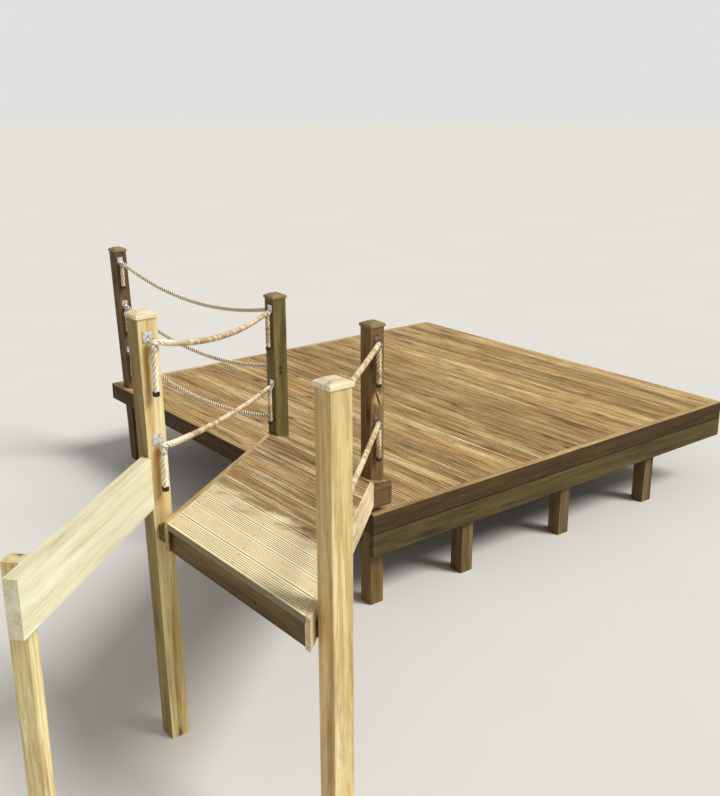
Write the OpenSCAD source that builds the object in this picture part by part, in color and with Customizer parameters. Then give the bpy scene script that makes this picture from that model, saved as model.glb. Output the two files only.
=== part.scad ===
// Timber footbridge with rope rails. A square raised deck on posts is met at one edge by a
// boarded ramp that runs at 45 degrees in plan and slopes at 13 degrees. Five square posts with
// weathered caps carry seven rope rails in zinc eye fittings. Millimetres, Z up, floor at Z 0.

/* [Main deck] */
// Height of the main deck's walking surface above the floor
deck_h = 650; // [500:10:900]
// Length of the main deck across its boards
deck_len = 3580; // [3300:20:3900]
// Width of the main deck along its boards
deck_wid = 3540; // [3400:20:3900]
// Number of boards on the main deck
deck_boards = 24; // [22:1:26]
// Thickness of every walking board
board_t = 28; // [24:1:34]
// Gap between two boards of the main deck
deck_gap = 4; // [2:1:8]
// Thickness of the rim boards
rim_t = 40; // [30:2:50]
// Depth of the rim boards
rim_d = 130; // [120:5:160]

/* [Ramp] */
// Height of the ramp's low edge above the main deck
ramp_rise = 170; // [150:5:220]
// Slope of the ramp in degrees
ramp_tilt = 13.28; // [11:0.01:15]
// Width of the ramp, measured along its boards
ramp_wid = 1143; // [1100:1:1200]
// Number of boards on the ramp
ramp_boards_n = 12; // [10:1:12]
// Width of a ramp board
ramp_board_w = 146; // [140:1:148]
// Gap between two ramp boards
ramp_gap = 5; // [3:1:8]
// Width of a joist or header
joist_w = 45; // [38:1:50]
// Depth of the ramp's joists
joist_d = 110; // [90:5:110]
// Thickness of the trim boards along the ramp's sides
trim_t = 25; // [20:1:30]
// Depth of the trim boards and of the board at the ramp's square end
trim_d = 140; // [138:1:145]

/* [Posts] */
// Side of a square post
post_w = 100; // [90:2:106]
// Height of the low posts above the main deck, without caps
low_post_h = 1128; // [1000:2:1250]
// Height of the back post above the main deck, without its cap
back_post_h = 1150; // [1000:2:1250]
// Height of the near left post above the main deck, without its cap
left_post_h = 1508; // [1450:2:1600]
// Height of the near right post above the main deck, without its cap
right_post_h = 1470; // [1400:2:1560]
// Side of a post cap
cap_w = 112; // [108:2:130]
// Height of a cap's upright edge
cap_edge = 17; // [8:1:24]
// Height of a cap's sloping part
cap_slope = 14; // [8:1:24]
// Side of a cap's flat top
cap_flat = 52; // [40:2:80]

/* [Rope rails] */
// Diameter of the rope
rope_d = 28; // [24:1:30]
// Distance from a post's face to the rope at its eye
standoff = 32; // [31:1:45]
// Length of rope that hangs below an eye
tail_len = 250; // [200:5:290]
// Diameter of the eye's wire
wire_d = 7; // [5:0.5:9]
// Side of a fitting's plate
plate_w = 46; // [36:2:46]
// Thickness of a fitting's plate
plate_t = 4; // [3:0.5:6]

/* [Wing board] */
// Length of the wing board along its front face
wing_len = 1200; // [900:20:1400]
// Depth of the wing board, which stands on edge
wing_d = 240; // [200:10:280]
// Thickness of the wing board
wing_t = 60; // [45:1:70]
// Angle in plan between the wing board and the deck's near right edge
wing_turn = 40; // [30:1:50]

/* [Hidden] */
$fn = 32;
// Plan position of the corner next to the ramp, so that the part is centred on its box
ramp_x1 = rim_t + post_w;
ramp_len = ramp_boards_n * (ramp_board_w + ramp_gap) - ramp_gap;
ramp_x0 = ramp_x1 - ramp_len * cos(ramp_tilt);
// Near left post, touching the ramp's left side line with its corner
left_play = 5;
left_post = [ramp_x0, ramp_x0 + post_w + ramp_wid + left_play];
// Near right post, beside the ramp's right side and a little in from its high edge
right_in = [86, 28];
right_post = [ramp_x0 + right_in[0], ramp_x0 - right_in[1]];
// Far posts: right, left and back, all behind the rim on the deck's near left edge
far_right_in = 76;
far_left_in = 58;
back_in = 240;
far_right_post = [rim_t, far_right_in];
far_left_post = [rim_t, ramp_wid - far_left_in];
back_post = [rim_t, deck_wid - back_in];
// How far two posts lean to the left for each unit of height, and the heights where they don't
left_lean = 0.0175;
back_lean = 0.035;
left_true = deck_h + 585;
back_true = deck_h;
// Half of the surplus of a cap beyond its post
cap_over = (cap_w - post_w) / 2;
// Wing board's front corner at the near left post, and the board's underside
wing_out = 20;
wing_rise = 620;
wing_front = [left_post[0], left_post[1] - wing_out];
wing_z = deck_h + wing_rise;
wing_back_x = wing_front[0] - wing_len * cos(wing_turn) - wing_t * sin(wing_turn);
peg_w = 75;
peg_inset = 120;
// Middle of the whole part's box in plan
mid_x = (wing_back_x + deck_len) / 2;
mid_y = (right_post[1] - cap_over + deck_wid) / 2;

// Main deck's structure
inner_len = deck_len - 2 * rim_t;
deck_pitch = (inner_len + deck_gap) / deck_boards;
deck_board_w = deck_pitch - deck_gap;
notch_play = 2;
edge_cut = 3;
frame_z = deck_h - rim_d;
// Joists of the deck stand clear of the posts: a group on each side of the far left post
joist_clear = 55;
joist_from = [far_right_post[1] + post_w + joist_clear, far_left_post[1] + post_w + joist_clear];
joist_to = [far_left_post[1] - joist_clear - joist_w, back_post[1] - joist_clear - joist_w];
joist_gaps = [2, 4];
bearer_w = 70;
bearer_d = 120;
bearer_in = 830;
bearer_xs = [bearer_in, deck_len / 2, deck_len - bearer_in];
leg_w = 100;
leg_ys = [rim_t, (deck_wid - leg_w) / 2, deck_wid - rim_t - leg_w];
fascia_gap = 3;
fascia_d = 145;

// Ramp's structure
header_in = 23;
end_board_t = 28;
end_rise = 12;
trim_skew = trim_t * sqrt(2);
packer_w = 66;
packer_in = 12;
reach = ramp_len + ramp_wid + deck_h;

// Height of each rope's eye above the main deck, highest first, as shares of its post's height
shares_left = [0.9261, 0.6045];
shares_right = [0.9062, 0.5606];
shares_far_left = [0.9188, 0.4714];
shares_far_right = [0.9178, 0.4904];
shares_back_side = [0.911, 0.5658, 0.249];
shares_back = [0.9179, 0.6074, 0.2692];
// Place of each eye along its post's face, from the post's lesser corner
eye_left = [59, 66];
eye_right = [80, 80];
eye_far_left = [26, 26];
eye_far_right = [34, 34];
eye_back_side = [50, 50, 50];
eye_back = [40, 40, 40];
// Hanging lengths of the rope ends, as shares of the given length
ends_left = [0.98, 0.88];
ends_right = [0.96, 0.92];
ends_far_left = [1, 1.03];
ends_far_right = [1.06, 0.97];
ends_back_side = [0.96, 0.96, 0.96];
ends_back = [0.83, 0.92, 0.92];
// Sag of each rope below the straight line between its ends, highest first
sag_left = [60.5, 28];
sag_right = [10, 10];
sag_back = [119, 122, 118];
// Where the left ropes pass round the near left post's edge
edge_play = 4;
edge_off = (rope_d / 2 + edge_play) / sqrt(2);
// Shares of a rope's length at which its tube has a ring
rope_steps = [0, 0.14, 0.3, 0.5, 0.7, 0.86, 1];
rope_sides = 10;
eye_play = 0.9;
eye_r = rope_d / 2 + eye_play + wire_d / 2;
neck_d = 9;
plate_lift = 15;
tail_clear = 8;
// The rope turns down through its eye on a quarter circle, with the tilted eye at its middle
bend_r = 20;
bend_run = bend_r / sqrt(2);
bend_fall = bend_r - bend_run;
eye_top = eye_r / sqrt(2);
screw_d = 8;
screw_h = 2;
screw_in = 9;

// Height of the ramp's walking surface at a place along X
function surf(x) = deck_h + ramp_rise + (ramp_x1 - x) * tan(ramp_tilt);
// Height of the ramp boards' underside
function under(x) = surf(x) - board_t / cos(ramp_tilt);
// Height of the ramp joists' underside
function low(x) = under(x) - joist_d / cos(ramp_tilt);
// Unit vector, flat direction between two places, and a place between two others
function unit(v) = v / norm(v);
function flat_dir(a, b) = unit([b[0] - a[0], b[1] - a[1], 0]);
function between(a, b, s) = a + (b - a) * s;
// Height of the trim boards' underside
function trim_low(x) = surf(x) - trim_d / cos(ramp_tilt);
// How far a leaning post has moved along X at a height
function left_shift(z) = -left_lean * (z - left_true);
function back_shift(z) = -back_lean * (z - back_true);
// One round section of a rope at a place, square to a direction in an upright plane
function section(p, d, side) = [for (i = [0:rope_sides - 1])
    let (a = 360 * i / rope_sides, up = cross(d, side))
    p + rope_d / 2 * (cos(a) * side + sin(a) * up)];
// Direction of a path at one of its points, flat at a given end direction
function path_dir(path, i, first, last) = i == 0 ? first
    : i == len(path) - 1 ? last : unit(unit(path[i + 1] - path[i]) + unit(path[i] - path[i - 1]));
// Flat direction square to a path's direction, or to a given one where the path is upright
function path_side(d, run) = norm([d[0], d[1]]) < 0.01 ? unit([-run[1], run[0], 0])
    : unit([-d[1], d[0], 0]);
// Triangles of a tube with n sections
function tube_faces(n, m) = concat([[for (j = [m - 1:-1:0]) j]],
    [for (i = [0:n - 2], j = [0:m - 1]) let (k = (j + 1) % m) [i * m + j, i * m + k, (i + 1) * m + k]],
    [for (i = [0:n - 2], j = [0:m - 1]) let (k = (j + 1) % m)
        [i * m + j, (i + 1) * m + k, (i + 1) * m + j]],
    [[for (j = [0:m - 1]) (n - 1) * m + j]]);
// A rope between two eyes, sagging like a parabola
function span_path(a, b, sag) = [for (s = rope_steps) between(a, b, s) - [0, 0, 4 * sag * s * (1 - s)]];
function flat(v) = [v[0], v[1], 0];
// The same rope round a post's edge: its height follows the whole flat length
function bent_path(a, edge, b, sag) =
    let (l0 = norm(flat(edge - a)), l1 = norm(flat(b - edge)), e = l0 / (l0 + l1))
    [for (s = concat([0, e], [for (r = rope_steps) if (r > 2 * e) r]))
        let (q = s <= e ? between(a, edge, s / e) : between(edge, b, (s - e) / (1 - e)))
        [q[0], q[1], a[2] + (b[2] - a[2]) * s - 4 * sag * s * (1 - s)]];
// Where a rope starts to turn down, from its eye and the direction in which it runs on
function turn_start(eye, out) = eye - out * bend_run + [0, 0, bend_fall];
// Rope that turns down through an eye and hangs, clear of the main deck
function tail_path(p, out, share) = [p, p + out * bend_run - [0, 0, bend_fall],
    p + out * bend_r - [0, 0, bend_r],
    p + out * bend_r - [0, 0, min(tail_len * share, p[2] - deck_h - tail_clear)]];

// Eyes of each post, highest first
function eye_z(shares, top) = [for (s = shares) deck_h + s * top];
z_left = eye_z(shares_left, left_post_h);
z_right = eye_z(shares_right, right_post_h);
z_far_left = eye_z(shares_far_left, low_post_h);
z_far_right = eye_z(shares_far_right, low_post_h);
z_back_side = eye_z(shares_back_side, low_post_h);
z_back = eye_z(shares_back, back_post_h);
eyes_left = [for (i = [0, 1])
    [left_post[0] + eye_left[i] + left_shift(z_left[i]), left_post[1] - standoff, z_left[i]]];
eyes_right = [for (i = [0, 1])
    [right_post[0] + eye_right[i], right_post[1] + post_w + standoff, z_right[i]]];
eyes_far_left = [for (i = [0, 1])
    [far_left_post[0] - standoff, far_left_post[1] + eye_far_left[i], z_far_left[i]]];
eyes_far_right = [for (i = [0, 1])
    [far_right_post[0] + eye_far_right[i], far_right_post[1] - standoff, z_far_right[i]]];
eyes_back_side = [for (i = [0:2]) [far_left_post[0] + eye_back_side[i],
    far_left_post[1] + post_w + standoff, z_back_side[i]]];
eyes_back = [for (i = [0:2])
    [back_post[0] + eye_back[i] + back_shift(z_back[i]), back_post[1] - standoff, z_back[i]]];
// Where the left ropes bend round the near left post's edge
bends_left = [for (i = [0, 1]) [left_post[0] + post_w + left_shift(z_left[i]) + edge_off,
    left_post[1] - edge_off, z_left[i]]];
dirs_left = [for (i = [0, 1]) flat_dir(eyes_left[i], bends_left[i])];
dirs_far_left = [for (i = [0, 1]) flat_dir(bends_left[i], eyes_far_left[i])];
dirs_right = [for (i = [0, 1]) flat_dir(eyes_right[i], eyes_far_right[i])];
dirs_back = [for (i = [0:2]) flat_dir(eyes_back[i], eyes_back_side[i])];

deck_boards_left();
deck_boards_right();
front_rim();
front_lower_board();
left_rim();
back_rim();
right_rim();
deck_joists();
deck_bearers();
deck_legs();
ramp_boards();
ramp_left_joist();
ramp_middle_joist();
ramp_right_joist();
ramp_left_trim();
ramp_right_trim();
ramp_near_header();
ramp_far_header();
ramp_end_board();
ramp_risers();
near_left_post();
near_right_post();
far_left_post();
far_right_post();
back_post();
post_caps();
near_left_eyes();
near_right_eyes();
far_left_eyes();
far_right_eyes();
back_eyes();
left_rope_high();
left_rope_low();
right_rope_high();
right_rope_low();
back_rope_high();
back_rope_middle();
back_rope_low();
near_left_tails();
near_right_tails();
far_left_tails();
far_right_tails();
back_tails();
wing_board();
wing_peg();

// Moves the drawing from the deck's near corner to the middle of the whole part
module placed() {
    translate([-mid_x, -mid_y, 0]) children();
}

// Extrudes an outline drawn in X and Z along Y
module along_y(y0, y1) {
    translate([0, y1, 0]) rotate([90, 0, 0]) linear_extrude(y1 - y0) children();
}

// A box from one corner to another
module block(a, b) {
    translate(a) cube(b - a);
}

// Section of a walking board with its top edges eased
module board_section(w) {
    polygon([[0, -board_t], [w, -board_t], [w, -edge_cut], [w - edge_cut, 0],
        [edge_cut, 0], [0, -edge_cut]]);
}

// One board of the main deck
module deck_board(i) {
    translate([rim_t + i * deck_pitch, 0, deck_h]) along_y(rim_t, deck_wid - rim_t)
        board_section(deck_board_w);
}

// Upright space of a post with the notch's play around it
module post_space(at) {
    block([at[0] - rim_t, at[1] - notch_play, frame_z],
        [at[0] + post_w + notch_play, at[1] + post_w + notch_play, deck_h + ramp_rise + joist_d]);
}

module deck_boards_left() {
    color("Peru") placed() {
        difference() {
            deck_board(0);
            post_space(far_right_post);
            post_space(far_left_post);
            post_space(back_post);
        }
        for (i = [1:deck_boards / 2 - 1]) deck_board(i);
    }
}

module deck_boards_right() {
    color("Peru") placed() for (i = [deck_boards / 2:deck_boards - 1]) deck_board(i);
}

module front_rim() {
    color("BurlyWood") placed() block([0, 0, frame_z], [deck_len, rim_t, deck_h]);
}

module front_lower_board() {
    color("SaddleBrown") placed() block([0, 0, frame_z - fascia_gap - fascia_d],
        [deck_len, rim_t, frame_z - fascia_gap]);
}

module left_rim() {
    color("BurlyWood") placed() block([0, rim_t, frame_z], [rim_t, deck_wid - rim_t, deck_h]);
}

module back_rim() {
    color("BurlyWood") placed() block([0, deck_wid - rim_t, frame_z], [deck_len, deck_wid, deck_h]);
}

module right_rim() {
    color("BurlyWood") placed() block([deck_len - rim_t, rim_t, frame_z],
        [deck_len, deck_wid - rim_t, deck_h]);
}

module deck_joists() {
    color("Sienna") placed() for (k = [0, 1], i = [0:joist_gaps[k]])
        translate([0, between(joist_from[k], joist_to[k], i / joist_gaps[k]), 0])
            block([rim_t, 0, frame_z], [deck_len - rim_t, joist_w, deck_h - board_t]);
}

module deck_bearers() {
    color("Sienna") placed() for (x = bearer_xs)
        block([x - bearer_w / 2, rim_t, frame_z - bearer_d],
            [x + bearer_w / 2, deck_wid - rim_t, frame_z]);
}

module deck_legs() {
    color("SaddleBrown") placed() for (x = bearer_xs, y = leg_ys)
        block([x - leg_w / 2, y, 0], [x + leg_w / 2, y + leg_w, frame_z - bearer_d]);
}

// Plan strip at 45 degrees between two distances from the right side, measured along Y
module strip(off, wide) {
    polygon([[-reach, off - reach], [ramp_x1, off + ramp_x1], [ramp_x1, off + wide + ramp_x1],
        [-reach, off + wide - reach]]);
}

// Plan outline of the ramp's boards: two sides at 45 degrees and a square end on the main deck
module ramp_plan() {
    polygon([[-reach, trim_skew - reach], [0, trim_skew], [0, end_board_t],
        [ramp_x1, end_board_t], [ramp_x1, ramp_x1 + ramp_wid], [0, ramp_wid - trim_skew],
        [-reach, ramp_wid - trim_skew - reach]]);
}

// Side view of the joists, cut plumb at both headers
module joist_side() {
    x = ramp_x0 + header_in + joist_w;
    polygon([[x, low(x)], [0, low(0)], [0, under(0)], [x, under(x)]]);
}

// One board of the ramp, its ends cut on the side lines
module ramp_board(i) {
    intersection() {
        translate([ramp_x1, 0, deck_h + ramp_rise]) rotate([0, ramp_tilt, 0])
            translate([-(i + 1) * ramp_board_w - i * ramp_gap, 0, 0])
                along_y(-reach, reach) board_section(ramp_board_w);
        linear_extrude(reach) ramp_plan();
    }
}

module ramp_boards() {
    color("Tan") placed() {
        difference() {
            ramp_board(0);
            post_space(far_right_post);
            block([far_left_post[0] - notch_play, far_left_post[1] - notch_play, frame_z],
                [ramp_x1 + joist_d, far_left_post[1] + reach, reach]);
        }
        for (i = [1:ramp_boards_n - 1]) ramp_board(i);
    }
}

// A joist of the ramp under its boards
module ramp_joist(off) {
    color("SaddleBrown") placed() intersection() {
        linear_extrude(reach) strip(off, joist_w * sqrt(2));
        along_y(-reach, reach) joist_side();
    }
}

module ramp_left_joist() {
    ramp_joist(ramp_wid - trim_skew - joist_w * sqrt(2));
}

module ramp_middle_joist() {
    ramp_joist((ramp_wid - joist_w * sqrt(2)) / 2);
}

module ramp_right_joist() {
    ramp_joist(trim_skew);
}

// A board on edge along a side of the ramp, flush with its walking surface
module ramp_trim(off, x1) {
    color("Tan") placed() intersection() {
        linear_extrude(reach) strip(off, trim_skew);
        along_y(-reach, reach) polygon([[ramp_x0, trim_low(ramp_x0)], [x1, trim_low(x1)],
            [x1, surf(x1)], [ramp_x0, surf(ramp_x0)]]);
    }
}

module ramp_left_trim() {
    ramp_trim(ramp_wid - trim_skew, rim_t - notch_play);
}

module ramp_right_trim() {
    ramp_trim(0, 0);
}

// Tapered block that fills the space between a near post and the ramp's side
module packer(post_y, off, x0) {
    x1 = x0 + packer_w;
    translate([0, 0, trim_low(x0) + packer_in])
        linear_extrude(surf(x1) - board_t - trim_low(x0) - 2 * packer_in)
            polygon([[x0, post_y], [x0, x0 + off], [x1, x1 + off], [x1, post_y]]);
}

// Header under the ramp's high edge, with the blocks between the ramp and the near posts
module ramp_near_header() {
    x0 = ramp_x0 + header_in;
    x1 = x0 + joist_w;
    color("SaddleBrown") placed() {
        intersection() {
            linear_extrude(reach) strip(trim_skew, ramp_wid - 2 * trim_skew);
            along_y(-reach, reach)
                polygon([[x0, low(x1)], [x1, low(x1)], [x1, under(x1)], [x0, under(x0)]]);
        }
        packer(left_post[1], ramp_wid, ramp_x0 + header_in);
        packer(right_post[1] + post_w, 0, right_post[0] + packer_in);
    }
}

module ramp_far_header() {
    color("SaddleBrown") placed() along_y(far_right_post[1], ramp_wid - trim_skew)
        polygon([[0, deck_h], [rim_t, deck_h], [rim_t, under(rim_t)], [0, under(0)]]);
}

// Board at the ramp's square end: its top is level, and it hangs clear of the main deck
module ramp_end_board() {
    color("Tan") placed() block([0, 0, deck_h + ramp_rise + end_rise - trim_d],
        [ramp_x1, end_board_t, deck_h + ramp_rise + end_rise]);
}

// Upright boards that close the ramp's low edge between the posts
module ramp_riser(y0, y1) {
    x0 = ramp_x1 - board_t;
    along_y(y0, y1) polygon([[x0, deck_h], [ramp_x1, deck_h], [ramp_x1, under(ramp_x1)],
        [x0, under(x0)]]);
}

module ramp_risers() {
    color("Tan") placed() ramp_riser(far_right_post[1] + post_w, far_left_post[1]);
}

// A square post from the floor with eased edges. Its foot and top are moved along X.
module post(at, top, foot_x = 0, top_x = 0) {
    e = edge_cut;
    outline = [[e, 0], [post_w - e, 0], [post_w, e], [post_w, post_w - e],
        [post_w - e, post_w], [e, post_w], [0, post_w - e], [0, e]];
    n = len(outline);
    color("Goldenrod") placed() translate([at[0], at[1], 0]) polyhedron(
        concat([for (c = outline) [c[0] + foot_x, c[1], 0]],
            [for (c = outline) [c[0] + top_x, c[1], deck_h + top]]),
        concat([[for (j = [0:n - 1]) j]],
            [for (j = [0:n - 1]) let (k = (j + 1) % n) [j, n + j, n + k, k]],
            [[for (j = [n - 1:-1:0]) n + j]]));
}

module near_left_post() {
    post(left_post, left_post_h, left_shift(0), left_shift(deck_h + left_post_h));
}

module near_right_post() {
    post(right_post, right_post_h);
}

module far_left_post() {
    post(far_left_post, low_post_h);
}

module far_right_post() {
    post(far_right_post, low_post_h);
}

module back_post() {
    post(back_post, back_post_h, back_shift(0), back_shift(deck_h + back_post_h));
}

// A low pyramid with an upright edge and a flat top
module cap(at, top, top_x = 0) {
    translate([at[0] + post_w / 2 + top_x, at[1] + post_w / 2, deck_h + top]) rotate(45) {
        cylinder(h = cap_edge, r = cap_w / sqrt(2), $fn = 4);
        translate([0, 0, cap_edge])
            cylinder(h = cap_slope, r1 = cap_w / sqrt(2), r2 = cap_flat / sqrt(2), $fn = 4);
    }
}

module post_caps() {
    color("Wheat") placed() {
        cap(left_post, left_post_h, left_shift(deck_h + left_post_h));
        cap(right_post, right_post_h);
        cap(far_left_post, low_post_h);
        cap(far_right_post, low_post_h);
        cap(back_post, back_post_h, back_shift(deck_h + back_post_h));
    }
}

// A zinc fitting: screwed plate, neck and closed eye. The face angle turns the plate to its
// post's face, and the eye is tilted halfway between the rope's run and its hanging end.
module eye(p, face, out) {
    reach_in = standoff - eye_top * (out * [cos(face), sin(face), 0]);
    translate(p) rotate([0, -45, atan2(out[1], out[0])]) rotate_extrude() translate([eye_r, 0])
        circle(d = wire_d, $fn = 16);
    translate(p + eye_top * (out + [0, 0, 1])) rotate(face) {
        rotate([0, 90, 0]) cylinder(h = reach_in - plate_t / 2, d = neck_d);
        translate([reach_in - plate_t, -plate_w / 2, plate_lift - plate_w / 2])
            cube([plate_t, plate_w, plate_w]);
        for (y = [-1, 1], z = [-1, 1])
            translate([reach_in - plate_t - screw_h, y * (plate_w / 2 - screw_in),
                plate_lift + z * (plate_w / 2 - screw_in)])
                rotate([0, 90, 0]) cylinder(h = screw_h + 1, d = screw_d, $fn = 20);
    }
}

module near_left_eyes() {
    color("Silver") placed() for (i = [0, 1]) eye(eyes_left[i], 90, -dirs_left[i]);
}

module near_right_eyes() {
    color("Silver") placed() for (i = [0, 1]) eye(eyes_right[i], -90, -dirs_right[i]);
}

module far_left_eyes() {
    color("Silver") placed() {
        for (i = [0, 1]) eye(eyes_far_left[i], 0, dirs_far_left[i]);
        for (i = [0:2]) eye(eyes_back_side[i], -90, dirs_back[i]);
    }
}

module far_right_eyes() {
    color("Silver") placed() for (i = [0, 1]) eye(eyes_far_right[i], 90, dirs_right[i]);
}

module back_eyes() {
    color("Silver") placed() for (i = [0:2]) eye(eyes_back[i], 90, -dirs_back[i]);
}

// A rope tube along a path
module rope(path, first, last) {
    dirs = [for (i = [0:len(path) - 1]) path_dir(path, i, first, last)];
    points = [for (i = [0:len(path) - 1])
        for (q = section(path[i], dirs[i], path_side(dirs[i], first))) q];
    color("OldLace") placed() polyhedron(points, tube_faces(len(path), rope_sides));
}

module left_span(i) {
    rope(bent_path(turn_start(eyes_left[i], -dirs_left[i]), bends_left[i],
        turn_start(eyes_far_left[i], dirs_far_left[i]), sag_left[i]), dirs_left[i],
        dirs_far_left[i]);
}

module left_rope_high() {
    left_span(0);
}

module left_rope_low() {
    left_span(1);
}

module right_span(i) {
    rope(span_path(turn_start(eyes_right[i], -dirs_right[i]),
        turn_start(eyes_far_right[i], dirs_right[i]), sag_right[i]), dirs_right[i], dirs_right[i]);
}

module right_rope_high() {
    right_span(0);
}

module right_rope_low() {
    right_span(1);
}

module back_span(i) {
    rope(span_path(turn_start(eyes_back[i], -dirs_back[i]),
        turn_start(eyes_back_side[i], dirs_back[i]), sag_back[i]), dirs_back[i], dirs_back[i]);
}

module back_rope_high() {
    back_span(0);
}

module back_rope_middle() {
    back_span(1);
}

module back_rope_low() {
    back_span(2);
}

// The rope's end, which turns down through its eye and hangs beside the post
module tail(p, out, share) {
    rope(tail_path(turn_start(p, out), out, share), out, [0, 0, -1]);
}

module near_left_tails() {
    for (i = [0, 1]) tail(eyes_left[i], -dirs_left[i], ends_left[i]);
}

module near_right_tails() {
    for (i = [0, 1]) tail(eyes_right[i], -dirs_right[i], ends_right[i]);
}

module far_left_tails() {
    for (i = [0, 1]) tail(eyes_far_left[i], dirs_far_left[i], ends_far_left[i]);
    for (i = [0:2]) tail(eyes_back_side[i], dirs_back[i], ends_back_side[i]);
}

module far_right_tails() {
    for (i = [0, 1]) tail(eyes_far_right[i], dirs_right[i], ends_far_right[i]);
}

module back_tails() {
    for (i = [0:2]) tail(eyes_back[i], -dirs_back[i], ends_back[i]);
}

// Thick board on edge that runs out from the near left post, cut flush against its face
module wing_board() {
    along = [-cos(wing_turn), -sin(wing_turn)];
    back = [0, wing_t / cos(wing_turn)];
    end_back = wing_t * [-sin(wing_turn), cos(wing_turn)];
    color("Moccasin") placed() intersection() {
        translate([0, 0, wing_z]) linear_extrude(wing_d)
            polygon([wing_front, wing_front + back, wing_front + along * wing_len + end_back,
                wing_front + along * wing_len]);
        along_y(-reach, reach) translate([left_post[0], 0])
            polygon([[-reach, wing_z - joist_d], [left_shift(wing_z - joist_d), wing_z - joist_d],
                [left_shift(wing_z + reach), wing_z + reach], [-reach, wing_z + reach]]);
    }
}

module wing_peg() {
    color("Goldenrod") placed() translate([wing_front[0], wing_front[1], 0])
        rotate(180 + wing_turn)
            translate([wing_len - peg_inset - peg_w, -wing_t - peg_w, 0])
                cube([peg_w, peg_w, wing_z + wing_d]);
}
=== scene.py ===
"""Timber footbridge with rope rails, dressed over its CAD frame. Metres, Z up, floor at Z 0."""

import logging
import math
import random
from dataclasses import dataclass, field
from enum import Enum
from typing import Protocol

import bmesh
import bpy
from mathutils import Euler, Matrix, Vector


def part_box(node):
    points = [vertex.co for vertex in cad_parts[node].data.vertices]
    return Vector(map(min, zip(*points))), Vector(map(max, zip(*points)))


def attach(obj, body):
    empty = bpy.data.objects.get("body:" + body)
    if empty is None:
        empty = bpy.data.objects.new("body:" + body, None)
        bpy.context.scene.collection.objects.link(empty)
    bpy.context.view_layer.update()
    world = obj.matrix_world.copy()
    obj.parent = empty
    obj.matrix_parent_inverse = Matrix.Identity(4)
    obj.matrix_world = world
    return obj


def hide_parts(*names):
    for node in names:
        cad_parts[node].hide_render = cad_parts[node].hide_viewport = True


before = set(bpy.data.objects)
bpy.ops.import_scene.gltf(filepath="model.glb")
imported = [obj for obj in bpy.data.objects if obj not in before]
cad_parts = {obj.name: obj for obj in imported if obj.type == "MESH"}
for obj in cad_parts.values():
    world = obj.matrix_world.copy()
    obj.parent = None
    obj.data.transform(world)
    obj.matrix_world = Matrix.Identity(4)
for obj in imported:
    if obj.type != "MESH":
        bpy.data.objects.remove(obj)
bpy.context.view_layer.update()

LOG = logging.getLogger("footbridge")
UP = Vector((0.0, 0.0, 1.0))
BODY = "root"
WELD = 1e-5
TINY = 1e-6
SHIFT_SALT, LIGHT_SALT, WARM_SALT = 3.0, 11.0, 23.0

Tint = tuple[float, float, float, float]


def tone(red: int, green: int, blue: int) -> Tint:
    """Turn a display colour into the linear colour that a shader takes.

    Args:
        red: Red from 0 to 255.
        green: Green from 0 to 255.
        blue: Blue from 0 to 255.

    Returns:
        Linear red, green, blue and an alpha of 1.
    """

    def linear(value: float) -> float:
        """Undo the display curve for one channel."""
        share = value / 255.0
        return share / 12.92 if share <= 0.04045 else ((share + 0.055) / 1.055) ** 2.4

    return (linear(red), linear(green), linear(blue), 1.0)


def joined(parts: list[bmesh.types.BMesh]) -> bmesh.types.BMesh:
    """Join meshes into one, in their order, and free them.

    Args:
        parts: The meshes.

    Returns:
        The whole mesh.
    """
    whole = bmesh.new()
    for bm in parts:
        mesh = bpy.data.meshes.new("part")
        bm.to_mesh(mesh)
        bm.free()
        whole.from_mesh(mesh)
        bpy.data.meshes.remove(mesh)
    return whole


def drawn_verts(done: dict) -> list[bmesh.types.BMVert]:
    """Give the vertices that an extrusion has made."""
    return [item for item in done["geom"] if isinstance(item, bmesh.types.BMVert)]


class Value:
    """A shader socket that takes part in Python arithmetic."""

    def __init__(self, graph: "Graph", socket: bpy.types.NodeSocket) -> None:
        """Wrap a socket.

        Args:
            graph: The graph that the socket's node is in.
            socket: The output socket.
        """
        self.graph = graph
        self.socket = socket

    def math(self, operation: str, *others: "Value | float") -> "Value":
        """Add a Math node with this value as its first input.

        Args:
            operation: The Math node's operation.
            others: Its further inputs.

        Returns:
            The node's result.
        """
        return self.graph.node("ShaderNodeMath", {"operation": operation}, (self, *others))

    def __add__(self, other: "Value | float") -> "Value":
        """Add."""
        return self.math("ADD", other)

    __radd__ = __add__

    def __mul__(self, other: "Value | float") -> "Value":
        """Multiply."""
        return self.math("MULTIPLY", other)

    __rmul__ = __mul__

    def __sub__(self, other: "Value | float") -> "Value":
        """Subtract the other."""
        return self.math("SUBTRACT", other)

    def __rsub__(self, other: "Value | float") -> "Value":
        """Subtract from the other."""
        return self.graph.node("ShaderNodeMath", {"operation": "SUBTRACT"}, (other, self))

    def __truediv__(self, other: "Value | float") -> "Value":
        """Divide by the other."""
        return self.math("DIVIDE", other)

    def floor(self) -> "Value":
        """Round down."""
        return self.math("FLOOR")

    def fraction(self) -> "Value":
        """Keep what is after the point."""
        return self.math("FRACT")

    def sine(self) -> "Value":
        """Take the sine."""
        return self.math("SINE")

    def size(self) -> "Value":
        """Drop the sign."""
        return self.math("ABSOLUTE")

    def rise(self, low: float, high: float) -> "Value":
        """Go smoothly from 0 to 1 between two levels.

        Args:
            low: The level where the result is 0.
            high: The level where the result is 1. It may be below low.

        Returns:
            The eased share.
        """
        settings = {"interpolation_type": "SMOOTHSTEP", "clamp": True}
        if high >= low:
            return self.graph.node("ShaderNodeMapRange", settings, (self, low, high, 0.0, 1.0))
        return self.graph.node("ShaderNodeMapRange", settings, (self, high, low, 1.0, 0.0))


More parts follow.
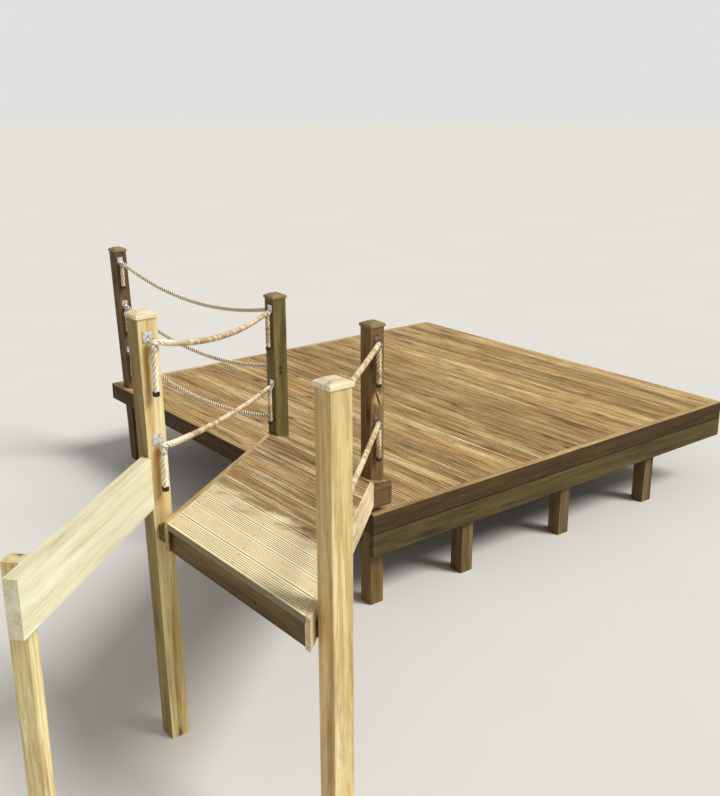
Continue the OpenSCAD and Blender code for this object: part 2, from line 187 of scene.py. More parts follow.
class Graph:
    """The node tree of one new material."""

    def __init__(self, name: str) -> None:
        """Start an empty material.

        Args:
            name: The material's name.
        """
        self.material = bpy.data.materials.new(name)
        self.material.use_nodes = True
        self.tree = self.material.node_tree
        self.tree.nodes.clear()

    def node(self, kind: str, settings: dict | None = None, inputs: object = (),
             out: int | str = 0) -> Value:
        """Add a node, set it up and feed it.

        Args:
            kind: The node's type.
            settings: Its settings, with a ramp's stops under the key stops.
            inputs: Values or links, in order or by socket index or name.
            out: The output to return.

        Returns:
            The chosen output.
        """
        made = self.tree.nodes.new(kind)
        for key, value in (settings or {}).items():
            if key == "stops":
                elements = made.color_ramp.elements
                while len(elements) < len(value):
                    elements.new(0.5)
                for element, (place, colour) in zip(elements, value):
                    element.position = place
                    element.color = colour
            else:
                setattr(made, key, value)
        pairs = inputs.items() if isinstance(inputs, dict) else enumerate(inputs)
        for key, value in pairs:
            if isinstance(value, Value):
                self.tree.links.new(value.socket, made.inputs[key])
            else:
                made.inputs[key].default_value = value
        return Value(self, made.outputs[out])

    def place(self) -> Value:
        """Give Object coordinates."""
        return self.node("ShaderNodeTexCoord", out="Object")

    def local(self, origin: Vector, turn: Euler) -> Value:
        """Give Object coordinates in a placed and turned frame of their own.

        Args:
            origin: The frame's origin.
            turn: The frame's turn.

        Returns:
            The vector.
        """
        return self.node("ShaderNodeMapping", {"vector_type": "TEXTURE"},
                         {0: self.place(), "Location": origin, "Rotation": turn})

    def split(self, vector: Value) -> tuple[Value, Value, Value]:
        """Split a vector into its three parts.

        Args:
            vector: The vector.

        Returns:
            Its X, Y and Z.
        """
        first = self.node("ShaderNodeSeparateXYZ", None, (vector,))
        outputs = first.socket.node.outputs
        return first, Value(self, outputs[1]), Value(self, outputs[2])

    def join(self, x: "Value | float", y: "Value | float", z: "Value | float") -> Value:
        """Join three numbers into a vector."""
        return self.node("ShaderNodeCombineXYZ", None, (x, y, z))

    def stretch(self, vector: Value, factors: tuple[float, float, float]) -> Value:
        """Multiply a vector's parts by constants."""
        return self.node("ShaderNodeVectorMath", {"operation": "MULTIPLY"}, (vector, factors))

    def noise(self, vector: Value, scale: float = 1.0, detail: float = 4.0,
              rough: float = 0.55, swirl: float = 0.0) -> Value:
        """Add a noise pattern.

        Args:
            vector: Where it is read.
            scale: Its scale.
            detail: Its octaves.
            rough: How much the fine octaves count.
            swirl: Its distortion.

        Returns:
            The pattern from 0 to 1.
        """
        return self.node("ShaderNodeTexNoise", None,
                         {"Vector": vector, "Scale": scale, "Detail": detail,
                          "Roughness": rough, "Distortion": swirl})

    def chance(self, seed: Value, salt: float) -> Value:
        """Give a fixed random number for each whole number."""
        return self.node("ShaderNodeTexWhiteNoise", {"noise_dimensions": "1D"},
                         {"W": seed + salt})

    def mix(self, first: "Value | Tint", second: "Value | Tint", share: "Value | float",
            blend: str = "MIX") -> Value:
        """Mix two colours.

        Args:
            first: The colour at a share of 0.
            second: The colour at a share of 1.
            share: The share.
            blend: The Mix node's blend type.

        Returns:
            The mixed colour.
        """
        return self.node("ShaderNodeMix", {"data_type": "RGBA", "blend_type": blend},
                         {0: share, 6: first, 7: second}, 2)

    def bump(self, height: Value, distance: float, strength: float = 1.0) -> Value:
        """Turn a height into a normal.

        Args:
            height: The height pattern.
            distance: Its depth in metres.
            strength: The Bump node's strength.

        Returns:
            The normal.
        """
        return self.node("ShaderNodeBump", None,
                         {"Height": height, "Distance": distance, "Strength": strength})

    def surface(self, **sockets: object) -> bpy.types.Material:
        """Close the graph with a Principled shader.

        Args:
            sockets: Its inputs by name, with _ for a space.

        Returns:
            The finished material.
        """
        fed = {key.replace("_", " "): value for key, value in sockets.items()}
        shader = self.node("ShaderNodeBsdfPrincipled", None, fed)
        made = self.tree.nodes.new("ShaderNodeOutputMaterial")
        self.tree.links.new(shader.socket, made.inputs["Surface"])
        return self.material


class Finish(Protocol):
    """What every finish offers."""

    name: str

    def build(self) -> bpy.types.Material:
        """Make the material."""


class Grain(Enum):
    """Directions in which a timber's grain can run."""

    ALONG_X = "x"
    ALONG_Y = "y"
    ALONG_Z = "z"
    RAMP_SIDE = "ramp side"
    RAMP_BOARD = "ramp board"
    WING = "wing"


@dataclass(frozen=True)
class Layout:
    """Sizes that the sub-assemblies share, as the CAD model has them."""

    deck_h: float = 0.65
    deck_len: float = 3.58
    deck_wid: float = 3.54
    rim_t: float = 0.04
    board_t: float = 0.028
    deck_boards: int = 24
    deck_gap: float = 0.004
    ramp_rise: float = 0.17
    ramp_tilt: float = math.radians(13.28)
    ramp_wid: float = 1.143
    ramp_boards: int = 12
    ramp_board_w: float = 0.146
    ramp_gap: float = 0.005
    trim_t: float = 0.025
    end_board_t: float = 0.028
    post_w: float = 0.1
    low_post_h: float = 1.128
    back_post_h: float = 1.15
    left_post_h: float = 1.508
    right_post_h: float = 1.47
    rope_d: float = 0.028
    standoff: float = 0.032
    tail_len: float = 0.25
    tail_clear: float = 0.008
    wing_turn: float = math.radians(40.0)
    post_gap: float = 0.005
    right_post_off: tuple[float, float] = (0.086, 0.028)
    far_left_inset: float = 0.058
    far_right_in: float = 0.076
    back_inset: float = 0.24
    left_lean: float = 0.0175
    left_upright_at: float = 0.585
    back_lean: float = 0.035
    side_slope: float = 0.7

    @property
    def corner(self) -> Vector:
        """The main deck's corner next to the ramp, on the floor."""
        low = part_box("front_rim")[0]
        return Vector((low[0], low[1], 0.0))

    @property
    def ramp_x1(self) -> float:
        """The ramp's low edge along X, from the deck's corner."""
        return self.rim_t + self.post_w

    @property
    def ramp_x0(self) -> float:
        """The ramp's high edge along X, from the deck's corner."""
        pitch = self.ramp_board_w + self.ramp_gap
        return self.ramp_x1 - (self.ramp_boards * pitch - self.ramp_gap) * math.cos(self.ramp_tilt)

    @property
    def deck_pitch(self) -> float:
        """The spacing of the main deck's boards."""
        return (self.deck_len - 2 * self.rim_t + self.deck_gap) / self.deck_boards

    @property
    def left_post(self) -> tuple[float, float]:
        """The near left post's lesser corner in plan."""
        return (self.ramp_x0, self.ramp_x0 + self.post_w + self.ramp_wid + self.post_gap)

    @property
    def right_post(self) -> tuple[float, float]:
        """The near right post's lesser corner in plan."""
        return (self.ramp_x0 + self.right_post_off[0], self.ramp_x0 - self.right_post_off[1])

    @property
    def far_left_post(self) -> tuple[float, float]:
        """The far left post's lesser corner in plan."""
        return (self.rim_t, self.ramp_wid - self.far_left_inset)

    @property
    def far_right_post(self) -> tuple[float, float]:
        """The far right post's lesser corner in plan."""
        return (self.rim_t, self.far_right_in)

    @property
    def back_post(self) -> tuple[float, float]:
        """The back post's lesser corner in plan."""
        return (self.rim_t, self.deck_wid - self.back_inset)

    @property
    def trim_skew(self) -> float:
        """The thickness of the ramp's side trims, measured along Y."""
        return self.trim_t * math.sqrt(2.0)

    def left_shift(self, z: float) -> float:
        """How far the leaning near left post has moved along X at a height."""
        return -self.left_lean * (z - self.deck_h - self.left_upright_at)

    def back_shift(self, z: float) -> float:
        """How far the leaning back post has moved along X at a height."""
        return -self.back_lean * (z - self.deck_h)

    def at(self, x: float, y: float, z: float) -> Vector:
        """Turn a place measured from the deck's corner into the frame's own.

        Args:
            x: Distance along the deck's near right edge.
            y: Distance along its boards.
            z: Height above the floor.

        Returns:
            The point.
        """
        return self.corner + Vector((x, y, z))

    def ramp_matrix(self) -> Matrix:
        """The ramp's own frame: X down the slope, Z square to it, origin at its low edge."""
        place = self.at(self.ramp_x1, 0.0, self.deck_h + self.ramp_rise)
        return Matrix.Translation(place) @ Matrix.Rotation(self.ramp_tilt, 4, "Y")

    def grain_frame(self, grain: Grain) -> tuple[Vector, Euler]:
        """Say where a timber's grain frame lies, with its first axis along the grain.

        Args:
            grain: The grain's direction.

        Returns:
            The frame's origin and turn.
        """
        quarter = math.pi / 2
        top = self.at(self.rim_t, 0.0, self.deck_h)
        if grain is Grain.RAMP_BOARD:
            whole = self.ramp_matrix() @ Matrix.Rotation(quarter, 4, "Z")
            return whole.to_translation(), whole.to_euler()
        turns = {
            Grain.ALONG_X: Euler((0.0, 0.0, 0.0)),
            Grain.ALONG_Y: Euler((0.0, 0.0, quarter)),
            Grain.ALONG_Z: Euler((0.0, -quarter, 0.0)),
            Grain.RAMP_SIDE: Euler((0.0, self.ramp_tilt * self.side_slope, quarter / 2)),
            Grain.WING: Euler((0.0, 0.0, self.wing_turn)),
        }
        return top, turns[grain]


LAYOUT = Layout()


@dataclass(frozen=True)
class Figure:
    """A noise pattern that is drawn out along the grain."""

    along: float
    across: float
    detail: float
    rough: float
    swirl: float = 0.0
    side_shift: bool = False

    def draw(self, graph: Graph, parts: tuple[Value, Value, Value],
             shift: "Value | float") -> Value:
        """Add the pattern.

        Args:
            graph: The material's graph.
            parts: The place along the grain, across it and through it.
            shift: What sets one board's pattern off from the next one's.

        Returns:
            The pattern from 0 to 1.
        """
        along, across, depth = parts
        side = across * self.across
        side = side + shift if self.side_shift else side
        spot = graph.join(along * self.along + shift, side, depth * self.across)
        return graph.noise(spot, 1.0, self.detail, self.rough, self.swirl)


COARSE_GRAIN = Figure(1.5, 34.0, 6.0, 0.6, 0.7, True)
FINE_GRAIN = Figure(11.0, 520.0, 3.0, 0.6)
STREAKS = Figure(0.9, 13.0, 4.0, 0.65)


@dataclass(frozen=True)
class Boards:
    """How boards lie side by side across a timber's grain frame."""

    pitch: float
    groove: float
    edge: float = 0.5


@dataclass(frozen=True)
class Timber:
    """A sawn or planed timber finish."""

    name: str
    pale: Tint
    mid: Tint
    dark: Tint
    grain: Grain
    grey: float = 0.3
    knots: float = 0.6
    rings: float = 0.35
    rough: float = 0.82
    spread: float = 0.16
    grey_tone: Tint = tone(150, 138, 112)
    boards: Boards | None = None
    sunlight_and_wear: float = 0.0
    rust_at: tuple = ()
    side_shade: float = 0.0
    aged: Tint | None = None
    shaded_face: tuple = ()
    knots_at: tuple = ()
    pale_patch_at: tuple = ()
    seam: float = 0.0
    shift_span: float = 17.0
    ring_count: float = 42.0
    knot_cells: tuple[float, float] = (3.2, 11.0)
    blotch_scale: float = 3.1
    sunlight_from: tuple[float, float] = (1.58, 1.78)
    aged_from: tuple[float, float] = (-1.2, -0.6)
    sunlight_tone: Tint = tone(255, 241, 198)
    side_tone: Tint = tone(94, 84, 54)
    seam_tone: Tint = tone(34, 26, 16)
    edge_tone: Tint = tone(62, 44, 24)
    rust_tone: Tint = tone(172, 100, 42)
    core_tone: Tint = tone(58, 36, 18)
    knot_tone: Tint = tone(40, 30, 18)
    pale_patch_tone: Tint = tone(198, 166, 122)
    dark_line_tone: Tint = tone(38, 24, 14)
    groove_tone: Tint = tone(52, 38, 22)
    cool_board: Tint = (1.0, 0.985, 0.955, 1.0)
    warm_board: Tint = (0.97, 0.93, 0.86, 1.0)
    bump_depth: float = 0.0012

    def build(self) -> bpy.types.Material:
        """Make the material.

        Returns:
            The material.
        """
        graph = Graph(self.name)
        place = graph.local(*LAYOUT.grain_frame(self.grain))
        along, across, depth = parts = graph.split(place)
        shift: Value | float = 0.0
        if self.boards:
            board = (across / self.boards.pitch).floor()
            shift = graph.chance(board, SHIFT_SALT) * self.shift_span
        grain = COARSE_GRAIN.draw(graph, parts, shift)
        fibre = FINE_GRAIN.draw(graph, parts, shift)
        streak = STREAKS.draw(graph, parts, shift)
        rings = (grain * self.ring_count).sine() * 0.5 + 0.5
        blotch = graph.noise(place, self.blotch_scale, 4.0, 0.6)
        colour = graph.mix(self.dark, self.mid, grain.rise(0.30, 0.56))
        colour = graph.mix(colour, self.pale, streak.rise(0.42, 0.72))
        colour = graph.mix(colour, self.dark, rings.rise(0.72, 1.0) * self.rings)
        colour = graph.mix(colour, self.grey_tone, blotch.rise(0.42, 0.7) * self.grey)
        colour = self.knotted(graph, colour, along + shift, across, depth)
        if self.boards:
            colour = self.by_board(graph, colour, board, across)
        # Painted sunlight, partly sun-bleached wear: the boards pale out in a band broken by
        # blotches and streaks.
        if self.sunlight_and_wear > 0.0:
            sunlit = (across + blotch * 0.9).rise(*self.sunlight_from) * streak.rise(0.15, 0.4)
            colour = graph.mix(colour, self.sunlight_tone, sunlit * self.sunlight_and_wear)
        if self.side_shade > 0.0:
            side = depth.rise(-0.002, -0.008) * self.side_shade
            colour = graph.mix(colour, self.side_tone, side, "MULTIPLY")
        if self.aged:
            colour = graph.mix(colour, self.aged, along.rise(*self.aged_from), "MULTIPLY")
        colour = graph.mix(colour, self.dark, (1.0 - fibre.rise(0.3, 0.55)) * 0.32)
        colour = self.marked(graph, colour, depth, fibre)
        if self.boards:
            # Darker towards the bottoms of the grooves.
            worn = (depth + self.boards.groove * 0.55).rise(0.0, -self.boards.groove * 0.45)
            colour = graph.mix(colour, self.groove_tone, worn * 0.75)
        height = grain * 0.5 + fibre * 0.5
        return graph.surface(Base_Color=colour, Roughness=fibre * 0.16 + (self.rough - 0.08),
                             Specular_IOR_Level=0.32,
                             Normal=graph.bump(height, self.bump_depth, 0.65))

    def marked(self, graph: Graph, colour: Value, depth: Value, fibre: Value) -> Value:
        """Add what only some timbers have: stains, a joint, knots, a pale patch with a dark line,
        painted shade on one face.

        Args:
            graph: The material's graph.
            colour: The colour so far.
            depth: Place through the timber.
            fibre: The timber's fine grain.

        Returns:
            The new colour.
        """
        for eye in self.rust_at:
            colour = self.stained(graph, colour, eye, fibre)
        if self.seam > 0.0:
            joint = (depth + self.seam).size().rise(0.007, 0.002)
            colour = graph.mix(colour, self.seam_tone, joint * 0.85)
        for spot in self.knots_at:
            near = graph.node("ShaderNodeVectorMath", {"operation": "DISTANCE"},
                              (graph.place(), spot), "Value")
            colour = graph.mix(colour, self.knot_tone, near.rise(0.017, 0.007) * 0.9)
        # A pale patch with a dark line through its middle.
        for spot, lean in self.pale_patch_at:
            wide, _, tall = graph.split(graph.local(Vector(spot), Euler((0.0, lean, 0.0))))
            pale_mark = (wide.size() * 1.4 + tall.size() + fibre * 0.03).rise(0.1, 0.04)
            colour = graph.mix(colour, self.pale_patch_tone, pale_mark * 0.75)
            colour = graph.mix(colour, self.dark_line_tone, pale_mark * wide.size().rise(0.009, 0.003))
        # Painted shade: the post's face on the lesser-X side is darkened by multiplying with a
        # tone.
        for spot, lean, dull in self.shaded_face:
            inward = graph.split(graph.local(Vector(spot), Euler((0.0, lean, 0.0))))[0]
            colour = graph.mix(colour, dull, inward.rise(0.0026, 0.0012), "MULTIPLY")
        return colour

    def knotted(self, graph: Graph, colour: Value, along: Value, across: Value,
                depth: Value) -> Value:
        """Add knots that are stretched along the grain.

        Args:
            graph: The material's graph.
            colour: The colour so far.
            along: Place along the grain.
            across: Place across it.
            depth: Place through it.

        Returns:
            The new colour.
        """
        long_cell, side_cell = self.knot_cells
        cells = graph.join(along * long_cell, across * side_cell, depth * side_cell)
        near = graph.node("ShaderNodeTexVoronoi", {"voronoi_dimensions": "3D"},
                          {"Vector": cells, "Scale": 1.0, "Randomness": 1.0})
        pick = Value(graph, near.socket.node.outputs["Color"])
        rare = graph.split(pick)[0].rise(0.74, 0.78)
        core = near.rise(0.19, 0.08) * rare * self.knots
        halo = near.rise(0.42, 0.16) * rare * self.knots * 0.5
        colour = graph.mix(colour, self.dark, halo)
        return graph.mix(colour, self.core_tone, core)

    def by_board(self, graph: Graph, colour: Value, board: Value, across: Value) -> Value:
        """Give each board a tint of its own and darker edges.

        Args:
            graph: The material's graph.
            colour: The colour so far.
            board: The board's number.
            across: Place across the boards.

        Returns:
            The new colour.
        """
        light = graph.chance(board, LIGHT_SALT) * (2.0 * self.spread) + (1.0 - self.spread)
        warm = graph.chance(board, WARM_SALT)
        shade = graph.mix(self.cool_board, self.warm_board, warm)
        colour = graph.mix(colour, shade, 1.0, "MULTIPLY")
        side = ((across / self.boards.pitch).fraction() - 0.5).size().rise(0.43, 0.49)
        colour = graph.mix(colour, self.edge_tone, side * self.boards.edge)
        return graph.node("ShaderNodeHueSaturation", None,
                          {"Color": colour, "Value": light, "Saturation": 1.0})

    def stained(self, graph: Graph, colour: Value, eye: tuple, fibre: Value) -> Value:
        """Let an orange-brown stain run down below a fitting.

        Args:
            graph: The material's graph.
            colour: The colour so far.
            eye: The fitting's place.
            fibre: The timber's fine grain.

        Returns:
            The new colour.
        """
        side, _, height = graph.split(graph.local(Vector(eye), Euler((0.0, 0.0, 0.0))))
        run = graph.noise(graph.join(side * 60.0, 0.0, height * 5.0), 1.0, 3.0, 0.6)
        wide = (side.size() + run * 0.026).rise(0.034, 0.015)
        down = height.rise(0.01, -0.03) * height.rise(-0.56, -0.10)
        return graph.mix(colour, self.rust_tone, wide * down * (fibre * 0.4 + 0.55))


@dataclass(frozen=True)
class Zinc:
    """Zinc plating with a slightly clouded surface."""

    name: str = "zinc_plate"
    pale: Tint = tone(246, 247, 248)
    mid: Tint = tone(206, 208, 212)
    dark: Tint = tone(96, 100, 112)

    def build(self) -> bpy.types.Material:
        """Make the material.

        Returns:
            The material.
        """
        graph = Graph(self.name)
        place = graph.place()
        cloud = graph.noise(place, 160.0, 4.0, 0.6)
        spots = graph.noise(place, 900.0, 2.0, 0.5)
        blotch = graph.noise(place, 75.0, 2.0, 0.5)
        colour = graph.mix(self.mid, self.pale, cloud.rise(0.3, 0.65))
        colour = graph.mix(colour, self.dark, blotch.rise(0.53, 0.62) * 0.7)
        return graph.surface(Base_Color=colour, Metallic=cloud * 0.1 + 0.55,
                             Roughness=cloud * 0.22 + 0.24,
                             Normal=graph.bump(spots, 0.0002, 0.3))


@dataclass(frozen=True)
class DullSteel:
    """Weathered steel of the board screws."""

    name: str = "dull_steel"
    pale: Tint = tone(150, 142, 126)
    dark: Tint = tone(92, 78, 58)

    def build(self) -> bpy.types.Material:
        """Make the material.

        Returns:
            The material.
        """
        graph = Graph(self.name)
        place = graph.place()
        cloud = graph.noise(place, 30.0, 3.0, 0.6)
        colour = graph.mix(self.dark, self.pale, cloud.rise(0.35, 0.65))
        return graph.surface(Base_Color=colour, Metallic=cloud * 0.2 + 0.5,
                             Roughness=cloud * 0.2 + 0.5,
                             Normal=graph.bump(cloud, 0.0003, 0.4))


@dataclass(frozen=True)
class RopeFibre:
    """Cream rope fibre, in yarns that turn round each strand."""

    name: str = "rope_fibre"
    pale: Tint = tone(255, 252, 236)
    mid: Tint = tone(255, 242, 212)
    dark: Tint = tone(204, 178, 138)
    soil: float = 0.4
    crease_shade: tuple[float, float, float] = (0.31, 0.19, 0.4)
    clean_to: float = 0.0
    clean_from: float = 0.34
    clean_tone: Tint = tone(250, 238, 212)
    crease_shade_tone: Tint = tone(92, 64, 38)
    yarns: float = 6.0
    yarn_turns: float = 46.0

    def build(self) -> bpy.types.Material:
        """Make the material.

        Returns:
            The material.
        """
        graph = Graph(self.name)
        station, around, _ = graph.split(graph.node("ShaderNodeTexCoord", out="UV"))
        yarn = ((around * self.yarns - station * self.yarn_turns) * math.tau).sine() * 0.5 + 0.5
        hair = graph.noise(graph.join(station * 60.0, around * 46.0, 0.0), 1.0, 4.0, 0.65, 1.5)
        place = graph.place()
        patch = graph.noise(place, 13.0, 4.0, 0.6)
        colour = graph.mix(self.mid, self.pale, hair.rise(0.35, 0.62))
        colour = graph.mix(colour, self.dark, patch.rise(0.38, 0.62) * self.soil)
        if self.clean_to > 0.0:
            soiled = station.rise(self.clean_from, self.clean_to)
            colour = graph.mix(self.clean_tone, colour, soiled)
        colour = graph.mix(colour, self.dark, (1.0 - yarn.rise(0.0, 0.5)) * 0.22)
        # Painted shade: the inner side of each strand, where it meets the others, is darkened.
        outer, inner, depth = self.crease_shade
        crease_shade = (around - 0.5).size().rise(outer, inner)
        colour = graph.mix(colour, self.crease_shade_tone, crease_shade * depth)
        height = yarn * 0.6 + hair * 0.4
        return graph.surface(Base_Color=colour, Roughness=hair * 0.1 + 0.84,
                             Specular_IOR_Level=0.25, Normal=graph.bump(height, 0.0011, 0.8))


@dataclass(frozen=True)
class BlackTape:
    """Black tape over a rope's cut end."""

    name: str = "black_tape"
    black: Tint = tone(22, 20, 19)
    scuffed: Tint = tone(58, 50, 42)

    def build(self) -> bpy.types.Material:
        """Make the material.

        Returns:
            The material.
        """
        graph = Graph(self.name)
        place = graph.place()
        scuff = graph.noise(place, 120.0, 5.0, 0.65)
        colour = graph.mix(self.black, self.scuffed, scuff.rise(0.5, 0.75))
        return graph.surface(Base_Color=colour, Roughness=scuff * 0.3 + 0.38,
                             Normal=graph.bump(scuff, 0.0006, 0.5))


@dataclass(frozen=True)
class Twine:
    """Whipping twine with soiled hollows."""

    name: str = "whipping_twine"
    pale: Tint = tone(206, 200, 188)
    mid: Tint = tone(150, 142, 130)
    dark: Tint = tone(92, 82, 72)

    def build(self) -> bpy.types.Material:
        """Make the material.

        Returns:
            The material.
        """
        graph = Graph(self.name)
        place = graph.place()
        hair = graph.noise(graph.stretch(place, (500.0, 500.0, 900.0)), 1.0, 3.0, 0.6)
        soil = graph.noise(place, 70.0, 3.0, 0.6)
        colour = graph.mix(self.mid, self.pale, hair.rise(0.3, 0.6))
        colour = graph.mix(colour, self.dark, soil.rise(0.42, 0.66) * 0.6)
        return graph.surface(Base_Color=colour, Roughness=hair * 0.1 + 0.8,
                             Normal=graph.bump(hair, 0.0004, 0.6))


@dataclass(frozen=True)
class PaleFloor:
    """The plain pale floor."""

    name: str = "pale_floor"
    low: Tint = tone(216, 215, 211)
    high: Tint = tone(222, 221, 218)

    def build(self) -> bpy.types.Material:
        """Make the material.

        Returns:
            The material.
        """
        graph = Graph(self.name)
        place = graph.place()
        cloud = graph.noise(place, 0.7, 3.0, 0.5)
        colour = graph.mix(self.low, self.high, cloud)
        return graph.surface(Base_Color=colour, Roughness=cloud * 0.04 + 0.9,
                             Specular_IOR_Level=0.1)


class Workshop:
    """Turns finished meshes into objects of the frame."""

    def __init__(self) -> None:
        """Start with no materials."""
        self.materials: dict[str, bpy.types.Material] = {}

    def material(self, finish: Finish) -> bpy.types.Material:
        """Give a finish's material, made on its first use.

        Args:
            finish: The finish.

        Returns:
            The material.
        """
        if finish.name not in self.materials:
            self.materials[finish.name] = finish.build()
        return self.materials[finish.name]

    def piece(self, name: str, bm: bmesh.types.BMesh, finishes: list[Finish],
              smooth: bool = False, nodes: tuple[str, ...] = ()) -> bpy.types.Object:
        """Make an object of a mesh and tell the frame about it.

        Args:
            name: The piece's name.
            bm: Its mesh, in the frame, which is freed.
            finishes: Its finishes, in the order of the faces' material numbers.
            smooth: True for a curved piece.
            nodes: The CAD nodes that it stands for.

        Returns:
            The object.
        """
        bmesh.ops.recalc_face_normals(bm, faces=bm.faces)
        for face in bm.faces:
            face.smooth = smooth
        mesh = bpy.data.meshes.new(name)
        bm.to_mesh(mesh)
        bm.free()
        made = bpy.data.objects.new(name, mesh)
        bpy.context.scene.collection.objects.link(made)
        for finish in finishes:
            mesh.materials.append(self.material(finish))
        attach(made, BODY)
        if nodes:
            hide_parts(*nodes)
        LOG.info("%s: %d faces", name, len(mesh.polygons))
        return made

    def dress(self, node: str, finish: Finish) -> None:
        """Give a CAD node a better material.

        Args:
            node: The node's name.
            finish: Its finish.
        """
        made = bpy.data.objects[node]
        for slot in made.material_slots:
            slot.material = self.material(finish)
        LOG.info("%s: %s", node, finish.name)


@dataclass(frozen=True)
class Camera:
    """The photograph's camera."""

    focal_px: float = 1045.6
    frame_px: tuple[int, int] = (720, 796)
    centre_y_px: float = 406.8
    heading: float = math.radians(38.25)
    pitch: float = math.radians(17.99)
    roll: float = math.radians(-0.16)
    place: tuple[float, float, float] = (-3.627, -4.472, 2.554)

    def build(self) -> None:
        """Make the camera and use it."""
        lens = bpy.data.cameras.new("photo_camera")
        lens.sensor_fit = "VERTICAL"
        lens.sensor_height = 36.0
        lens.lens = self.focal_px * lens.sensor_height / self.frame_px[1]
        lens.shift_y = (self.centre_y_px - self.frame_px[1] / 2) / self.frame_px[1]
        lens.clip_end = 200.0
        made = bpy.data.objects.new("photo_camera", lens)
        turn = Euler((math.pi / 2 - self.pitch, 0.0, -self.heading)).to_matrix().to_4x4()
        x, y, above_deck = self.place
        spot = LAYOUT.at(x, y, above_deck + LAYOUT.deck_h)
        made.matrix_world = Matrix.Translation(spot) @ turn @ Matrix.Rotation(self.roll, 4, "Z")
        bpy.context.scene.collection.objects.link(made)
        bpy.context.scene.camera = made


